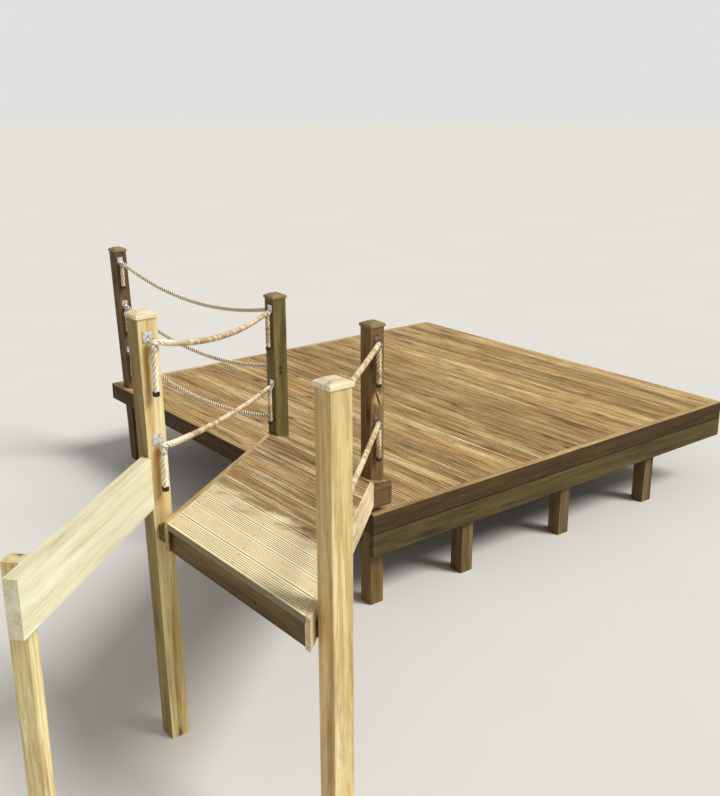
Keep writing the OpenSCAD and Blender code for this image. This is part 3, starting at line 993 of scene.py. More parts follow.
@dataclass
class RopeRail:
    """One rope between two eyes, with an end that hangs beyond each of them."""

    name: str
    start: Vector
    end: Vector
    sag: float
    nodes: tuple[str, str, str]
    shares: tuple[float, float]
    edges: tuple[Vector, ...] = ()
    fibre: RopeFibre = RopeFibre()
    fresh_start: bool = False
    end_twine: Twine = Twine()
    radius: float = LAYOUT.rope_d / 2
    lay: float = 0.088
    step: float = 0.007
    sides: int = 8
    bend_r: float = 0.020
    fill: float = 1.95
    proud: float = 1.13
    twine_down: float = 0.034
    twine_reach: float = 0.024
    tape_h: float = 0.022
    squeeze: float = 0.08
    strand_count: int = 3
    bend_steps: int = 8
    smoothings: int = 2
    tape_over: float = 1.03
    tape_sides: int = 24
    tape_ease: float = 0.0025
    twine_r: float = 0.0015
    twine_sides: int = 8
    twine_rings: int = 4
    twine_pitch: float = 0.0028
    twine_in: float = 0.84
    twine_steps: int = 28
    twine_draw: float = 0.17
    points: list[Vector] = field(default_factory=list)
    turns: tuple[int, int] = (0, 0)

    @property
    def spacing(self) -> float:
        """The distance between two of the route's points."""
        return (self.points[1] - self.points[0]).length

    @staticmethod
    def flat(first: Vector, second: Vector) -> Vector:
        """Give the flat direction from one place to another."""
        return Vector((second.x - first.x, second.y - first.y, 0.0)).normalized()

    @property
    def leave(self) -> Vector:
        """The rope's flat direction at its first eye."""
        return self.flat(self.start, (*self.edges, self.end)[0])

    @property
    def arrive(self) -> Vector:
        """The rope's flat direction at its last eye."""
        return self.flat((self.start, *self.edges)[-1], self.end)

    def turn_start(self, eye: Vector, out: Vector) -> Vector:
        """Say where the rope starts to turn down, with the eye at the turn's middle.

        Args:
            eye: The eye's centre.
            out: The flat direction in which the rope runs on through it.

        Returns:
            The point.
        """
        run = self.bend_r / math.sqrt(2.0)
        return eye - out * run + UP * (self.bend_r - run)

    def hanging(self, begin: Vector, out: Vector, share: float) -> list[Vector]:
        """Follow the rope over its bend and straight down, clear of the main deck.

        Args:
            begin: Where it starts to turn down.
            out: The flat direction in which it runs there.
            share: The hanging length, as a share of the usual one.

        Returns:
            The points.
        """
        turns = [math.pi / 2 * i / self.bend_steps for i in range(self.bend_steps + 1)]
        points = [begin + out * (self.bend_r * math.sin(t))
                  - UP * (self.bend_r * (1.0 - math.cos(t))) for t in turns]
        whole = min(LAYOUT.tail_len * share, begin.z - LAYOUT.deck_h - LAYOUT.tail_clear)
        left = whole - self.bend_r
        count = max(2, round(left / self.step))
        foot = points[-1]
        return points + [foot - UP * (left * (i + 1) / count) for i in range(count)]

    def route(self) -> None:
        """Lay the whole rope from one hanging end to the other."""
        begin = self.turn_start(self.start, -self.leave)
        finish = self.turn_start(self.end, self.arrive)
        stops = [Vector((stop.x, stop.y, 0.0)) for stop in (begin, *self.edges, finish)]
        span = self.evenly(stops)
        for i, point in enumerate(span):
            share = i / (len(span) - 1)
            point.z = (begin.z + (finish.z - begin.z) * share
                       - 4.0 * self.sag * share * (1.0 - share))
        first = self.hanging(begin, -self.leave, self.shares[0])[::-1]
        last = self.hanging(finish, self.arrive, self.shares[1])
        points = first[:-1] + span + last[1:]
        for _ in range(self.smoothings):
            inner = [(a + b * 2.0 + c) / 4.0 for a, b, c in zip(points, points[1:], points[2:])]
            points = [points[0]] + inner + [points[-1]]
        self.points = self.evenly(points)
        self.turns = tuple(min(range(len(self.points)), key=lambda i: (self.points[i] - end).length)
                           for end in (begin, finish))

    def evenly(self, points: list[Vector]) -> list[Vector]:
        """Space a route's points evenly.

        Args:
            points: The route.

        Returns:
            The route's points at the rope's own step.
        """
        stations = [0.0]
        for here, there in zip(points, points[1:]):
            stations.append(stations[-1] + (there - here).length)
        count = round(stations[-1] / self.step)
        even, k = [], 0
        for i in range(count + 1):
            want = stations[-1] * i / count
            while k < len(points) - 2 and stations[k + 1] < want:
                k += 1
            share = (want - stations[k]) / max(1e-9, stations[k + 1] - stations[k])
            even.append(points[k].lerp(points[k + 1], min(1.0, share)))
        return even

    def strands(self, first: int, last: int) -> bmesh.types.BMesh:
        """Twist the strands round a part of the route.

        Args:
            first: The number of the part's first point.
            last: The number of its last point.

        Returns:
            The mesh, with the station along the rope and the turn round a strand as its UVs.
        """
        outer_r = self.radius * self.proud
        whole_r = outer_r / self.fill
        level = UP.cross(self.arrive)
        spacing = self.spacing
        bm = bmesh.new()
        layer = bm.loops.layers.uv.new("rope")
        count = last - first
        for strand in range(self.strand_count):
            made = bmesh.ops.create_grid(bm, x_segments=count, y_segments=self.sides, size=0.5,
                                         calc_uvs=True)
            for vert in made["verts"]:
                i = first + round((vert.co.x + 0.5) * count)
                around = round((vert.co.y + 0.5) * self.sides) / self.sides
                ahead = self.points[min(i + 1, len(self.points) - 1)]
                run = (ahead - self.points[max(i - 1, 0)]).normalized()
                side = (level - run * level.dot(run)).normalized()
                lift = run.cross(side)
                tight = self.tightness(i)
                strand_r = whole_r * tight
                off = (outer_r - whole_r) * tight
                phase = math.tau * (i * spacing / self.lay + strand / self.strand_count)
                turn = phase + math.tau * around
                vert.co = (self.points[i]
                           + (side * math.cos(phase) + lift * math.sin(phase)) * off
                           + (side * math.cos(turn) + lift * math.sin(turn)) * strand_r)
        for face in bm.faces:
            for loop in face.loops:
                station = (first + loop[layer].uv.x * count) * spacing
                loop[layer].uv = (station, loop[layer].uv.y)
        bmesh.ops.remove_doubles(bm, verts=bm.verts, dist=WELD)
        rims = [edge for edge in bm.edges if edge.is_boundary]
        bmesh.ops.holes_fill(bm, edges=rims, sides=0)
        return bm

    def tightness(self, number: int) -> float:
        """Say how far the eyes and the twine draw the rope in at one of its points.

        Args:
            number: The point's number.

        Returns:
            The share of the rope's usual thickness.
        """
        middle = self.bend_r * math.pi / 4 / self.spacing
        eyes = (self.turns[0] - middle, self.turns[1] + middle)
        near = min(abs(number - eye) for eye in eyes) * self.spacing
        drawn = self.squeeze * max(0.0, 1.0 - near / (2 * self.bend_r))
        if self.turns[0] <= number <= self.turns[1]:
            return 1.0 - drawn
        begin = self.points[self.turns[0] if number < self.turns[0] else self.turns[1]]
        away = abs(begin.z - self.twine_down - self.points[number].z) / self.twine_reach
        return 1.0 - max(drawn, self.twine_draw * max(0.0, 1.0 - away))

    def binding(self, begin: Vector, foot: Vector) -> bmesh.types.BMesh:
        """Make the twine below the bend and the tape at a rope's hanging end.

        Args:
            begin: Where the rope starts to turn down.
            foot: The rope's lowest point.

        Returns:
            The mesh, with twine as material 0 and tape as material 1.
        """
        tape_r = self.radius * self.proud * self.tape_over
        bm = bmesh.new()
        bmesh.ops.create_cone(bm, cap_ends=True, segments=self.tape_sides, radius1=tape_r,
                              radius2=tape_r, depth=self.tape_h,
                              matrix=Matrix.Translation(foot + UP * (self.tape_h / 2)))
        ends = [edge for edge in bm.edges if abs(edge.verts[0].co.z - edge.verts[1].co.z) < TINY]
        bmesh.ops.bevel(bm, geom=ends, offset=self.tape_ease, segments=2, affect="EDGES",
                        profile=0.5, material=-1)
        for face in bm.faces:
            face.material_index = 1
        for turn in range(self.twine_rings):
            low = self.twine_down + (turn - (self.twine_rings - 1) / 2) * self.twine_pitch
            centre = Vector((foot.x, foot.y, begin.z - low))
            place = (Matrix.Translation(centre + Vector((tape_r * self.twine_in, 0.0, 0.0)))
                     @ Matrix.Rotation(math.pi / 2, 4, "X"))
            ring = bmesh.ops.create_circle(bm, segments=self.twine_sides, radius=self.twine_r,
                                           matrix=place)
            edges = list(dict.fromkeys(edge for vert in ring["verts"]
                                       for edge in vert.link_edges))
            bmesh.ops.spin(bm, geom=edges, cent=centre, axis=UP, angle=math.tau,
                           steps=self.twine_steps, use_merge=True)
        bmesh.ops.remove_doubles(bm, verts=bm.verts, dist=WELD)
        return bm

    def build(self, shop: Workshop) -> None:
        """Args:
            shop: The workshop that makes objects.
        """
        self.route()
        start, end = self.turns
        last = len(self.points) - 1
        spacing = self.spacing
        span = shop.piece(f"{self.name}_span", self.strands(start, end), [self.fibre],
                          True, (self.nodes[0],))
        spacing * (end - start)
        2 * self.radius
        self.points[start:end + 1]
        ends = (("start", 0, start, self.nodes[1]), ("end", end, last, self.nodes[2]))
        for word, low, high, node in ends:
            first = word == "start"
            fibre = RopeFibre() if first and self.fresh_start else self.fibre
            twine = Twine() if first else self.end_twine
            tail = shop.piece(f"{self.name}_{word}_tail", self.strands(low, high), [fibre],
                              True, (node,))
            path = self.points[low:high + 1]
            path = path[::-1] if first else path
            bound = shop.piece(f"{self.name}_{word}_binding", self.binding(path[0], path[-1]),
                               [twine, BlackTape()], True)
            spacing * (high - low)
            2 * self.radius


@dataclass(frozen=True)
class EyeColumn:
    """The eyes on one side of a post: their place in plan and their shares of its height."""

    x: float
    y: float
    shares: tuple[float, ...]
    post_h: float

    def eyes(self) -> list[Vector]:
        """Give the eyes' centres, highest first."""
        return [LAYOUT.at(self.x, self.y, LAYOUT.deck_h + share * self.post_h)
                for share in self.shares]


@dataclass(frozen=True)
class RopePlan:
    """The seven ropes, with their eyes where the CAD model has them."""

    left_along: tuple[float, float] = (0.059, 0.066)
    edge_out: float = 0.01273
    right_along: float = 0.08
    far_left_along: float = 0.026
    far_right_along: float = 0.034
    back_side_along: float = 0.05
    back_along: float = 0.04
    left_shares: tuple[float, ...] = (0.9261, 0.6045)
    right_shares: tuple[float, ...] = (0.9062, 0.5606)
    far_left_shares: tuple[float, ...] = (0.9188, 0.4714)
    far_right_shares: tuple[float, ...] = (0.9178, 0.4904)
    back_side_shares: tuple[float, ...] = (0.911, 0.5658, 0.249)
    back_shares: tuple[float, ...] = (0.9179, 0.6074, 0.2692)
    worn: RopeFibre = RopeFibre("rope_fibre_worn", tone(250, 236, 202), tone(224, 200, 156),
                                tone(160, 130, 88), soil=0.75, crease_shade=(0.30, 0.19, 0.6),
                                clean_to=0.62)
    twisted: RopeFibre = RopeFibre("rope_fibre_twisted", tone(255, 250, 226),
                                   tone(255, 238, 204), tone(206, 176, 134), soil=0.3,
                                   crease_shade=(0.35, 0.25, 0.95))
    purple: Twine = Twine("purple_twine", tone(112, 92, 140), tone(78, 62, 104),
                          tone(44, 34, 60))

    def left(self) -> list[RopeRail]:
        """Lay out the two ropes on the ramp's left, round the near post's edge.

        Returns:
            The high and the low rope.
        """
        lay = LAYOUT
        x, y = lay.left_post
        near = EyeColumn(x, y - lay.standoff, self.left_shares, lay.left_post_h).eyes()
        far = EyeColumn(lay.far_left_post[0] - lay.standoff,
                        lay.far_left_post[1] + self.far_left_along, self.far_left_shares,
                        lay.low_post_h).eyes()
        edges = [lay.at(x + lay.post_w + self.edge_out, y - self.edge_out, eye.z) for eye in near]
        for eye, edge, along in zip(near, edges, self.left_along):
            edge.x += lay.left_shift(eye.z)
            eye.x += lay.left_shift(eye.z) + along
        runs = (("high", 0.0605, (0.98, 1.0)), ("low", 0.028, (0.88, 1.03)))
        return [RopeRail(f"left_{word}", near[i], far[i], sag,
                         (f"left_rope_{word}", "near_left_tails", "far_left_tails"), shares,
                         (edges[i],), self.worn, True)
                for i, (word, sag, shares) in enumerate(runs)]

    def right(self) -> list[RopeRail]:
        """Lay out the two ropes on the ramp's right.

        Returns:
            The high and the low rope.
        """
        lay = LAYOUT
        near = EyeColumn(lay.right_post[0] + self.right_along,
                         lay.right_post[1] + lay.post_w + lay.standoff, self.right_shares,
                         lay.right_post_h).eyes()
        far = EyeColumn(lay.far_right_post[0] + self.far_right_along,
                        lay.far_right_post[1] - lay.standoff, self.far_right_shares,
                        lay.low_post_h).eyes()
        runs = (("high", (0.96, 1.06), Twine()), ("low", (0.92, 0.97), self.purple))
        return [RopeRail(f"right_{word}", near[i], far[i], 0.01,
                         (f"right_rope_{word}", "near_right_tails", "far_right_tails"), shares,
                         fibre=self.worn, fresh_start=True, end_twine=twine)
                for i, (word, shares, twine) in enumerate(runs)]

    def back(self) -> list[RopeRail]:
        """Lay out the three ropes along the main deck.

        Returns:
            The high, the middle and the low rope.
        """
        lay = LAYOUT
        near = EyeColumn(lay.back_post[0] + self.back_along, lay.back_post[1] - lay.standoff,
                         self.back_shares, lay.back_post_h).eyes()
        far = EyeColumn(lay.far_left_post[0] + self.back_side_along,
                        lay.far_left_post[1] + lay.post_w + lay.standoff,
                        self.back_side_shares, lay.low_post_h).eyes()
        for eye in near:
            eye.x += lay.back_shift(eye.z)
        runs = (("high", 0.119, 0.83), ("middle", 0.122, 0.92), ("low", 0.118, 0.92))
        return [RopeRail(f"back_{word}", near[i], far[i], sag,
                         (f"back_rope_{word}", "back_tails", "far_left_tails"), (share, 0.96),
                         fibre=self.twisted)
                for i, (word, sag, share) in enumerate(runs)]

    def rails(self) -> list[RopeRail]:
        """List all seven."""
        return self.left() + self.right() + self.back()


@dataclass
class ReededBoard:
    """A decking board with grooves along its walking face."""

    width: float
    thick: float = LAYOUT.board_t
    grooves: int = 7
    groove_w: float = 0.008
    groove_d: float = 0.0028
    groove_foot: float = 0.45
    margin: float = 0.013
    edge: float = 0.003
    edge_round: float = 0.3

    @property
    def pitch(self) -> float:
        """The spacing of the grooves."""
        return (self.width - 2 * self.margin) / self.grooves

    def section(self) -> list[tuple[float, float]]:
        """List the walking face's outline across the board.

        Returns:
            Places across the board with their heights.
        """
        eased = self.edge * self.edge_round
        points = [(0.0, -self.edge), (eased, -eased), (self.edge, 0.0)]
        for i in range(self.grooves):
            centre = self.margin + (i + 0.5) * self.pitch
            half = self.groove_w / 2
            foot = half * self.groove_foot
            points += [(centre - half, 0.0), (centre - foot, -self.groove_d),
                       (centre + foot, -self.groove_d), (centre + half, 0.0)]
        points += [(self.width - self.edge, 0.0), (self.width - eased, -eased),
                   (self.width, -self.edge)]
        return points

    def add(self, bm: bmesh.types.BMesh, origin: Vector, low: float, high: float) -> None:
        """Add a board that runs along Y.

        Args:
            bm: The mesh to add it to.
            origin: The board's lesser edge across, at the walking face.
            low: Where it starts along Y.
            high: Where it ends along Y.
        """
        outline = self.section()
        count = len(outline) - 1
        made = bmesh.ops.create_grid(bm, x_segments=count, y_segments=1, size=0.5)
        top = made["verts"]
        for vert in top:
            x, z = outline[round((vert.co.x + 0.5) * count)]
            y = high if vert.co.y > 0 else low
            vert.co = origin + Vector((x, y, z))
        faces = list(dict.fromkeys(face for vert in top for face in vert.link_faces))
        drawn = bmesh.ops.extrude_face_region(bm, geom=faces, use_keep_orig=True)
        for vert in drawn_verts(drawn):
            vert.co.z = origin.z - self.thick


@dataclass
class MainDeck:
    """The boards of the square main deck."""

    seed: int = 5
    uneven: float = 0.0012
    clear: float = 0.0005
    board: ReededBoard = field(default_factory=lambda: ReededBoard(
        LAYOUT.deck_pitch - LAYOUT.deck_gap))

    def timber(self) -> Timber:
        """The finish of the boards."""
        return Timber("main_deck_boards", tone(255, 236, 180), tone(216, 177, 120),
                      tone(104, 76, 42), Grain.ALONG_Y, grey=0.25, knots=0.7, spread=0.22,
                      grey_tone=tone(176, 156, 112),
                      boards=Boards(LAYOUT.deck_pitch, self.board.groove_d))

    def tops(self) -> list[float]:
        """Give the height of each board's walking face."""
        dice = random.Random(self.seed)
        return [LAYOUT.deck_h - dice.uniform(0.0, self.uneven)
                for _ in range(LAYOUT.deck_boards)]

    def build(self, shop: Workshop) -> None:
        """Make both halves of the deck.

        Args:
            shop: The workshop that makes objects.
        """
        tops = self.tops()
        half = LAYOUT.deck_boards // 2
        for word, numbers in (("left", range(half)), ("right", range(half, 2 * half))):
            bm = bmesh.new()
            for i in numbers:
                origin = LAYOUT.at(LAYOUT.rim_t + i * LAYOUT.deck_pitch, 0.0, tops[i])
                self.board.add(bm, origin, LAYOUT.rim_t + self.clear,
                               LAYOUT.deck_wid - LAYOUT.rim_t - self.clear)
            shop.piece(f"main_boards_{word}", bm, [self.timber()], False,
                       (f"deck_boards_{word}",))


@dataclass
class RampDeck:
    """The skewed boards of the sloping ramp."""

    seed: int = 9
    uneven: float = 0.0012
    uncut: tuple[float, float] = (-2.2, 2.0)
    board: ReededBoard = field(default_factory=lambda: ReededBoard(LAYOUT.ramp_board_w))

    def timber(self) -> Timber:
        """The finish of the boards."""
        # The ramp's boards carry painted sunlight as well as sun-bleached wear.
        return Timber("ramp_boards_wood", tone(246, 230, 186), tone(184, 148, 96),
                      tone(104, 76, 42), Grain.RAMP_BOARD, grey=0.15, knots=0.7, spread=0.14,
                      grey_tone=tone(176, 156, 112),
                      boards=Boards(LAYOUT.ramp_board_w + LAYOUT.ramp_gap,
                                    self.board.groove_d), sunlight_and_wear=0.9)

    def cut(self, bm: bmesh.types.BMesh, *planes: tuple[Vector, Vector]) -> None:
        """Saw a mesh off at upright planes and close it.

        Args:
            bm: The mesh.
            planes: A point of each plane, and its normal towards what is cut off.
        """
        for place, outward in planes:
            whole = list(bm.verts) + list(bm.edges) + list(bm.faces)
            done = bmesh.ops.bisect_plane(bm, geom=whole, plane_co=place, plane_no=outward,
                                          clear_outer=True)
            edges = [item for item in done["geom_cut"] if isinstance(item, bmesh.types.BMEdge)]
            bmesh.ops.holes_fill(bm, edges=edges, sides=0)

    def drops(self) -> list[float]:
        """Give how far each board's walking face lies below the ramp's own plane."""
        dice = random.Random(self.seed)
        return [dice.uniform(0.0, self.uneven) for _ in range(LAYOUT.ramp_boards)]

    def one(self, number: int, drop: float) -> bmesh.types.BMesh:
        """Make one whole board in the frame.

        Args:
            number: The board's number from the low edge.
            drop: How far its walking face lies below the ramp's plane.

        Returns:
            Its mesh.
        """
        bm = bmesh.new()
        pitch = self.board.width + LAYOUT.ramp_gap
        origin = Vector((-(number * pitch + self.board.width), 0.0, -drop))
        self.board.add(bm, origin, *self.uncut)
        bmesh.ops.transform(bm, matrix=LAYOUT.ramp_matrix(), verts=bm.verts)
        return bm

    def build(self, shop: Workshop) -> None:
        """Make the ramp's boards.

        Args:
            shop: The workshop that makes objects.
        """
        side = Vector((1.0, -1.0, 0.0)).normalized()
        past_x, past_y = Vector((1.0, 0.0, 0.0)), Vector((0.0, 1.0, 0.0))
        right = (LAYOUT.at(0.0, LAYOUT.trim_skew, 0.0), side)
        left = (LAYOUT.at(0.0, LAYOUT.ramp_wid - LAYOUT.trim_skew, 0.0), -side)
        corner = LAYOUT.at(0.0, LAYOUT.end_board_t, 0.0)
        inner = LAYOUT.at(LAYOUT.rim_t, 0.0, 0.0)
        behind = LAYOUT.at(0.0, LAYOUT.far_left_post[1] + LAYOUT.post_w / 2, 0.0)
        meshes = []
        for i, drop in enumerate(self.drops()):
            bm = self.one(i, drop)
            if i:
                self.cut(bm, right, left)
            else:
                self.cut(bm, (corner, -past_y), (corner, -past_x))
                spare = bm.copy()
                self.cut(bm, (inner, past_x), left)
                self.cut(spare, (inner, -past_x), (behind, past_y))
                meshes.append(spare)
            meshes.append(bm)
        shop.piece("ramp_walk", joined(meshes), [self.timber()], False,
                   ("ramp_boards",))


@dataclass
class BoardScrews:
    """The dull screw heads of the decking, in pairs where a board crosses a joist."""

    head_r: float = 0.004
    depth: float = 0.0024
    sides: int = 8
    ridges: tuple[int, int] = (1, 6)
    deck_lines: tuple[float, ...] = (0.2535, 0.6305, 1.0075, 1.2625, 1.7525, 2.2425, 2.7325, 3.2225)
    ramp_lines: tuple[float, ...] = (0.067, 0.5715, 1.076)
    proud: float = 0.0002
    foot_share: float = 0.6
    post_clear: float = 0.01

    def across(self, board: ReededBoard) -> list[float]:
        """Give the places across a board, each on a ridge between two grooves."""
        return [board.margin + ridge * board.pitch for ridge in self.ridges]

    def places(self) -> list[Matrix]:
        """Say where each head's middle lies and how it is turned.

        Returns:
            One matrix for each screw.
        """
        lay, deck, ramp = LAYOUT, MainDeck(), RampDeck()
        sunk = self.depth / 2 - self.proud
        found = []
        for i, top in enumerate(deck.tops()):
            for x in self.across(deck.board):
                along = lay.rim_t + i * lay.deck_pitch + x
                found += [Matrix.Translation(lay.at(along, y, top - sunk))
                          for y in self.deck_lines]
        slope = lay.ramp_matrix()
        post = lay.far_left_post[1] - self.post_clear
        for i, drop in enumerate(ramp.drops()):
            start = -(i * (lay.ramp_board_w + lay.ramp_gap) + lay.ramp_board_w)
            for x in self.across(ramp.board):
                flat = lay.ramp_x1 + (start + x) * math.cos(lay.ramp_tilt)
                found += [slope @ Matrix.Translation((start + x, flat + line, -drop - sunk))
                          for line in self.ramp_lines if flat <= lay.rim_t or flat + line <= post]
        return found

    def build(self, shop: Workshop) -> None:
        """Make all the heads.

        Args:
            shop: The workshop that makes objects.
        """
        bm = bmesh.new()
        for place in self.places():
            bmesh.ops.create_cone(bm, cap_ends=True, segments=self.sides,
                                  radius1=self.head_r * self.foot_share, radius2=self.head_r,
                                  depth=self.depth, matrix=place)
        shop.piece("board_screws", bm, [DullSteel()])


@dataclass
class PostCaps:
    """The five weathered caps, each a low pyramid with eased edges."""

    width: float = 0.112
    upright: float = 0.017
    slope: float = 0.014
    flat: float = 0.052
    ease: float = 0.0025

    def timber(self) -> Timber:
        """The finish: pale near the ramp's high edge, dark on the main deck."""
        return Timber("cap_wood", tone(250, 238, 212), tone(236, 220, 184), tone(194, 168, 124),
                      Grain.ALONG_X, grey=0.25, knots=0.4, grey_tone=tone(206, 196, 172),
                      rings=0.2, aged=tone(148, 142, 120))

    def places(self) -> list[Vector]:
        """Give the middle of each post's top.

        Returns:
            The places, near posts first.
        """
        lay = LAYOUT
        low = lay.deck_h + lay.low_post_h
        left = lay.deck_h + lay.left_post_h
        back = lay.deck_h + lay.back_post_h
        half = lay.post_w / 2
        corners = ((*lay.left_post, left, lay.left_shift(left)),
                   (*lay.right_post, lay.deck_h + lay.right_post_h, 0.0),
                   (*lay.far_left_post, low, 0.0), (*lay.far_right_post, low, 0.0),
                   (*lay.back_post, back, lay.back_shift(back)))
        return [lay.at(x + half + lean, y + half, z) for x, y, z, lean in corners]

    def build(self, shop: Workshop) -> None:
        """Make the caps.

        Args:
            shop: The workshop that makes objects.
        """
        shop.piece("weathered_caps", joined([self.cap(place) for place in self.places()]),
                   [self.timber()], False, ("post_caps",))

    def cap(self, place: Vector) -> bmesh.types.BMesh:
        """Make one cap.

        Args:
            place: The middle of its post's top.

        Returns:
            Its mesh.
        """
        bm = bmesh.new()
        bmesh.ops.create_cube(bm, size=1.0)
        for vert in bm.verts:
            vert.co = Vector((vert.co.x * self.width, vert.co.y * self.width,
                              (vert.co.z + 0.5) * self.upright))
        top = max(bm.faces, key=lambda face: face.calc_center_median().z)
        drawn = bmesh.ops.extrude_face_region(bm, geom=[top])
        bmesh.ops.delete(bm, geom=[top], context="FACES_ONLY")
        lifted = drawn_verts(drawn)
        share = self.flat / self.width
        bmesh.ops.scale(bm, vec=Vector((share, share, 1.0)), verts=lifted)
        bmesh.ops.translate(bm, vec=UP * self.slope, verts=lifted)
        edges = [edge for edge in bm.edges if max(v.co.z for v in edge.verts) > TINY]
        bmesh.ops.bevel(bm, geom=edges, offset=self.ease, segments=2, affect="EDGES",
                        profile=0.5, material=-1)
        bmesh.ops.translate(bm, vec=place, verts=bm.verts)
        return bm


@dataclass
class Carpentry:
    """The finishes of the CAD model's own timbers and fittings."""

    seam: float = 0.13
    stain_back: tuple[float, float] = (0.026, 0.016)
    knot_x: float = 0.085
    knot_heights: tuple[float, float] = (1.313, 1.282)
    pale_patch_place: tuple[float, float] = (0.094, 1.344)
    pale_patch_lean: float = -0.35
    left_face_shade: Tint = tone(174, 164, 136)
    right_face_shade: Tint = tone(241, 225, 210)

    def timbers(self) -> dict[Timber, tuple[str, ...]]:
        """Say which timber each node gets.

        Returns:
            Nodes by finish.
        """
        rim = dict(pale=tone(230, 204, 152), mid=tone(186, 154, 104), dark=tone(120, 92, 54),
                   grey=0.3, knots=0.5, side_shade=1.0, seam=self.seam)
        trim = dict(pale=tone(250, 236, 204), mid=tone(232, 212, 172), dark=tone(184, 154, 110),
                    grey=0.3, knots=0.4)
        # Painted shade: the end board's tones are darkened as if it stood in shade.
        end = dict(pale=tone(134, 108, 68), mid=tone(102, 80, 46), dark=tone(64, 48, 26),
                   grey=0.2, knots=0.5)
        rough = dict(pale=tone(136, 112, 70), mid=tone(98, 78, 44), dark=tone(60, 44, 24),
                     grey=0.3, knots=0.5, grey_tone=tone(112, 102, 70))
        pine = dict(pale=tone(252, 242, 192), mid=tone(222, 201, 138), dark=tone(166, 132, 76),
                    grey=0.25, knots=0.8, grey_tone=tone(214, 210, 170), rings=0.35, rough=0.66)
        aged = dict(pale=tone(134, 120, 70), mid=tone(106, 92, 48), dark=tone(70, 58, 28),
                    grey=0.4, knots=1.0, grey_tone=tone(110, 110, 70))
        brown = dict(pale=tone(150, 120, 72), mid=tone(122, 94, 52), dark=tone(78, 56, 30),
                     grey=0.3, knots=0.9, grey_tone=tone(124, 108, 76))
        umber = dict(pale=tone(132, 108, 72), mid=tone(104, 82, 52), dark=tone(66, 48, 30),
                     grey=0.35, knots=0.9, grey_tone=tone(112, 98, 72))
        lay = LAYOUT
        runs = tuple(tuple(rail.start - Vector((back, 0.0, 0.0)))
                     for rail, back in zip(RopePlan().left(), self.stain_back))
        # Painted shade on the lesser-X faces of both near posts; the near left post also keeps its
        # real rust stains.
        edge = lay.at(lay.left_post[0] + lay.left_shift(lay.deck_h), lay.left_post[1], lay.deck_h)
        face = ((tuple(edge), -lay.left_lean, self.left_face_shade),)
        plain = ((tuple(lay.at(*lay.right_post, 0.0)), 0.0, self.right_face_shade),)
        knots = tuple(tuple(lay.at(self.knot_x, lay.far_left_post[1], z))
                      for z in self.knot_heights)
        # A pale patch with a dark line on the far right post.
        patch_x, patch_z = self.pale_patch_place
        pale_mark = ((tuple(lay.at(patch_x, lay.far_right_post[1], patch_z)), self.pale_patch_lean),)
        return {
            Timber("rim_along_x", grain=Grain.ALONG_X, **rim):
                ("front_rim", "back_rim"),
            Timber("end_board_painted_shade", grain=Grain.ALONG_X, **end): ("ramp_end_board",),
            Timber("rim_along_y", grain=Grain.ALONG_Y, **rim):
                ("left_rim", "right_rim", "ramp_risers"),
            Timber("rough_along_x", grain=Grain.ALONG_X, **rough): ("deck_joists",),
            # Dark tones: partly the damp wood's own colour, partly painted shade.
            Timber("lower_board_damp_and_shade", pale=tone(110, 94, 48), mid=tone(82, 68, 32),
                   dark=tone(48, 38, 16), grain=Grain.ALONG_X, grey_tone=tone(96, 88, 50),
                   seam=self.seam):
                ("front_lower_board",),
            Timber("rough_along_y", grain=Grain.ALONG_Y, **rough):
                ("deck_bearers", "ramp_near_header", "ramp_far_header"),
            Timber("rough_upright", grain=Grain.ALONG_Z, **rough): ("deck_legs",),
            Timber("ramp_joists_wood", grain=Grain.RAMP_SIDE, **rim):
                ("ramp_left_joist", "ramp_middle_joist", "ramp_right_joist"),
            Timber("ramp_trim_pale", grain=Grain.RAMP_SIDE, **trim): ("ramp_right_trim",),
            Timber("ramp_trim_brown", pale=tone(216, 188, 138), mid=tone(178, 148, 100),
                   dark=tone(116, 90, 54), grain=Grain.RAMP_SIDE): ("ramp_left_trim",),
            Timber("pine_stained_shaded_face", grain=Grain.ALONG_Z, rust_at=runs, shaded_face=face, **pine):
                ("near_left_post",),
            Timber("pine_upright_shaded_face", grain=Grain.ALONG_Z, shaded_face=plain, **pine):
                ("near_right_post",),
            Timber("pine_peg", grain=Grain.ALONG_Z, **pine): ("wing_peg",),
            Timber("aged_green", grain=Grain.ALONG_Z, knots_at=knots, **aged):
                ("far_left_post",),
            Timber("aged_brown", grain=Grain.ALONG_Z, pale_patch_at=pale_mark, **brown): ("far_right_post",),
            Timber("aged_dark", grain=Grain.ALONG_Z, **umber): ("back_post",),
            Timber("wing_wood", pale=tone(238, 238, 212), mid=tone(226, 222, 188),
                   dark=tone(198, 188, 144), grain=Grain.WING, grey=0.2, knots=0.35,
                   grey_tone=tone(226, 222, 202), rings=0.18): ("wing_board",),
        }

    def build(self, shop: Workshop) -> None:
        """Dress the CAD nodes.

        Args:
            shop: The workshop that keeps the materials.
        """
        for timber, nodes in self.timbers().items():
            for node in nodes:
                shop.dress(node, timber)
        for node in ("near_left_eyes", "near_right_eyes", "far_left_eyes", "back_eyes"):
            shop.dress(node, Zinc())
        # Painted shade: a darker copy of the zinc for the far right eyes.
        shop.dress("far_right_eyes", Zinc("zinc_painted_shade", tone(142, 136, 128),
                                          tone(98, 90, 82), tone(50, 46, 42)))


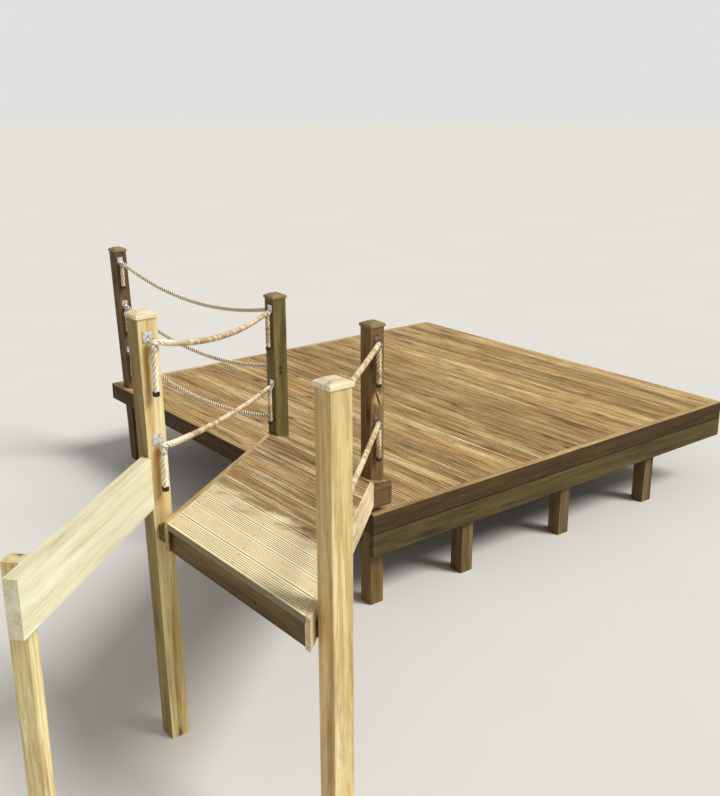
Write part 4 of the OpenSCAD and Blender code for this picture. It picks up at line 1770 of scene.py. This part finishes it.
@dataclass
class Studio:
    """Plain floor, soft light and the view's settings."""

    sky: float = 0.42
    sun: float = 2.95
    sun_spread: float = math.radians(24.0)
    sun_turn: tuple[float, float, float] = (math.radians(42.0), 0.0, math.radians(32.0))
    sun_tint: tuple[float, float, float] = (1.0, 0.975, 0.94)
    sky_tint: tuple[float, float, float, float] = (1.0, 0.98, 0.945, 1.0)
    backdrop: Tint = tone(224, 224, 222)
    floor_size: float = 60.0
    floor_sides: int = 64

    def build(self, shop: Workshop) -> None:
        """Make the floor and the lights.

        Args:
            shop: The workshop that keeps the materials.
        """
        scene = bpy.context.scene
        scene.view_settings.view_transform = "Standard"
        bm = bmesh.new()
        bmesh.ops.create_circle(bm, cap_ends=True, segments=self.floor_sides,
                                radius=self.floor_size)
        mesh = bpy.data.meshes.new("floor")
        bm.to_mesh(mesh)
        bm.free()
        floor = bpy.data.objects.new("floor", mesh)
        scene.collection.objects.link(floor)
        mesh.materials.append(shop.material(PaleFloor()))
        lamp = bpy.data.lights.new("soft_sun", "SUN")
        lamp.energy = self.sun
        lamp.angle = self.sun_spread
        lamp.color = self.sun_tint
        sun = bpy.data.objects.new("soft_sun", lamp)
        sun.rotation_euler = self.sun_turn
        scene.collection.objects.link(sun)
        self.world(scene)

    def world(self, scene: bpy.types.Scene) -> None:
        """Make the soft sky, pale where the camera sees it.

        Args:
            scene: The scene that gets it.
        """
        world = bpy.data.worlds.new("soft_sky")
        world.use_nodes = True
        tree = world.node_tree
        tree.nodes.clear()
        seen = tree.nodes.new("ShaderNodeLightPath")
        light = tree.nodes.new("ShaderNodeBackground")
        light.inputs["Color"].default_value = self.sky_tint
        light.inputs["Strength"].default_value = self.sky
        back = tree.nodes.new("ShaderNodeBackground")
        back.inputs["Color"].default_value = self.backdrop
        back.inputs["Strength"].default_value = 1.0
        mix = tree.nodes.new("ShaderNodeMixShader")
        out = tree.nodes.new("ShaderNodeOutputWorld")
        tree.links.new(seen.outputs["Is Camera Ray"], mix.inputs[0])
        tree.links.new(light.outputs[0], mix.inputs[1])
        tree.links.new(back.outputs[0], mix.inputs[2])
        tree.links.new(mix.outputs[0], out.inputs["Surface"])
        scene.world = world


def main() -> None:
    """Build the scene: camera and ropes first, then timber, fittings and studio."""
    logging.basicConfig(level=logging.INFO, format="%(name)s: %(message)s")
    shop = Workshop()
    Camera().build()
    for rail in RopePlan().rails():
        rail.build(shop)
    MainDeck().build(shop)
    RampDeck().build(shop)
    BoardScrews().build(shop)
    PostCaps().build(shop)
    Carpentry().build(shop)
    Studio().build(shop)


if __name__ == "__main__":
    main()
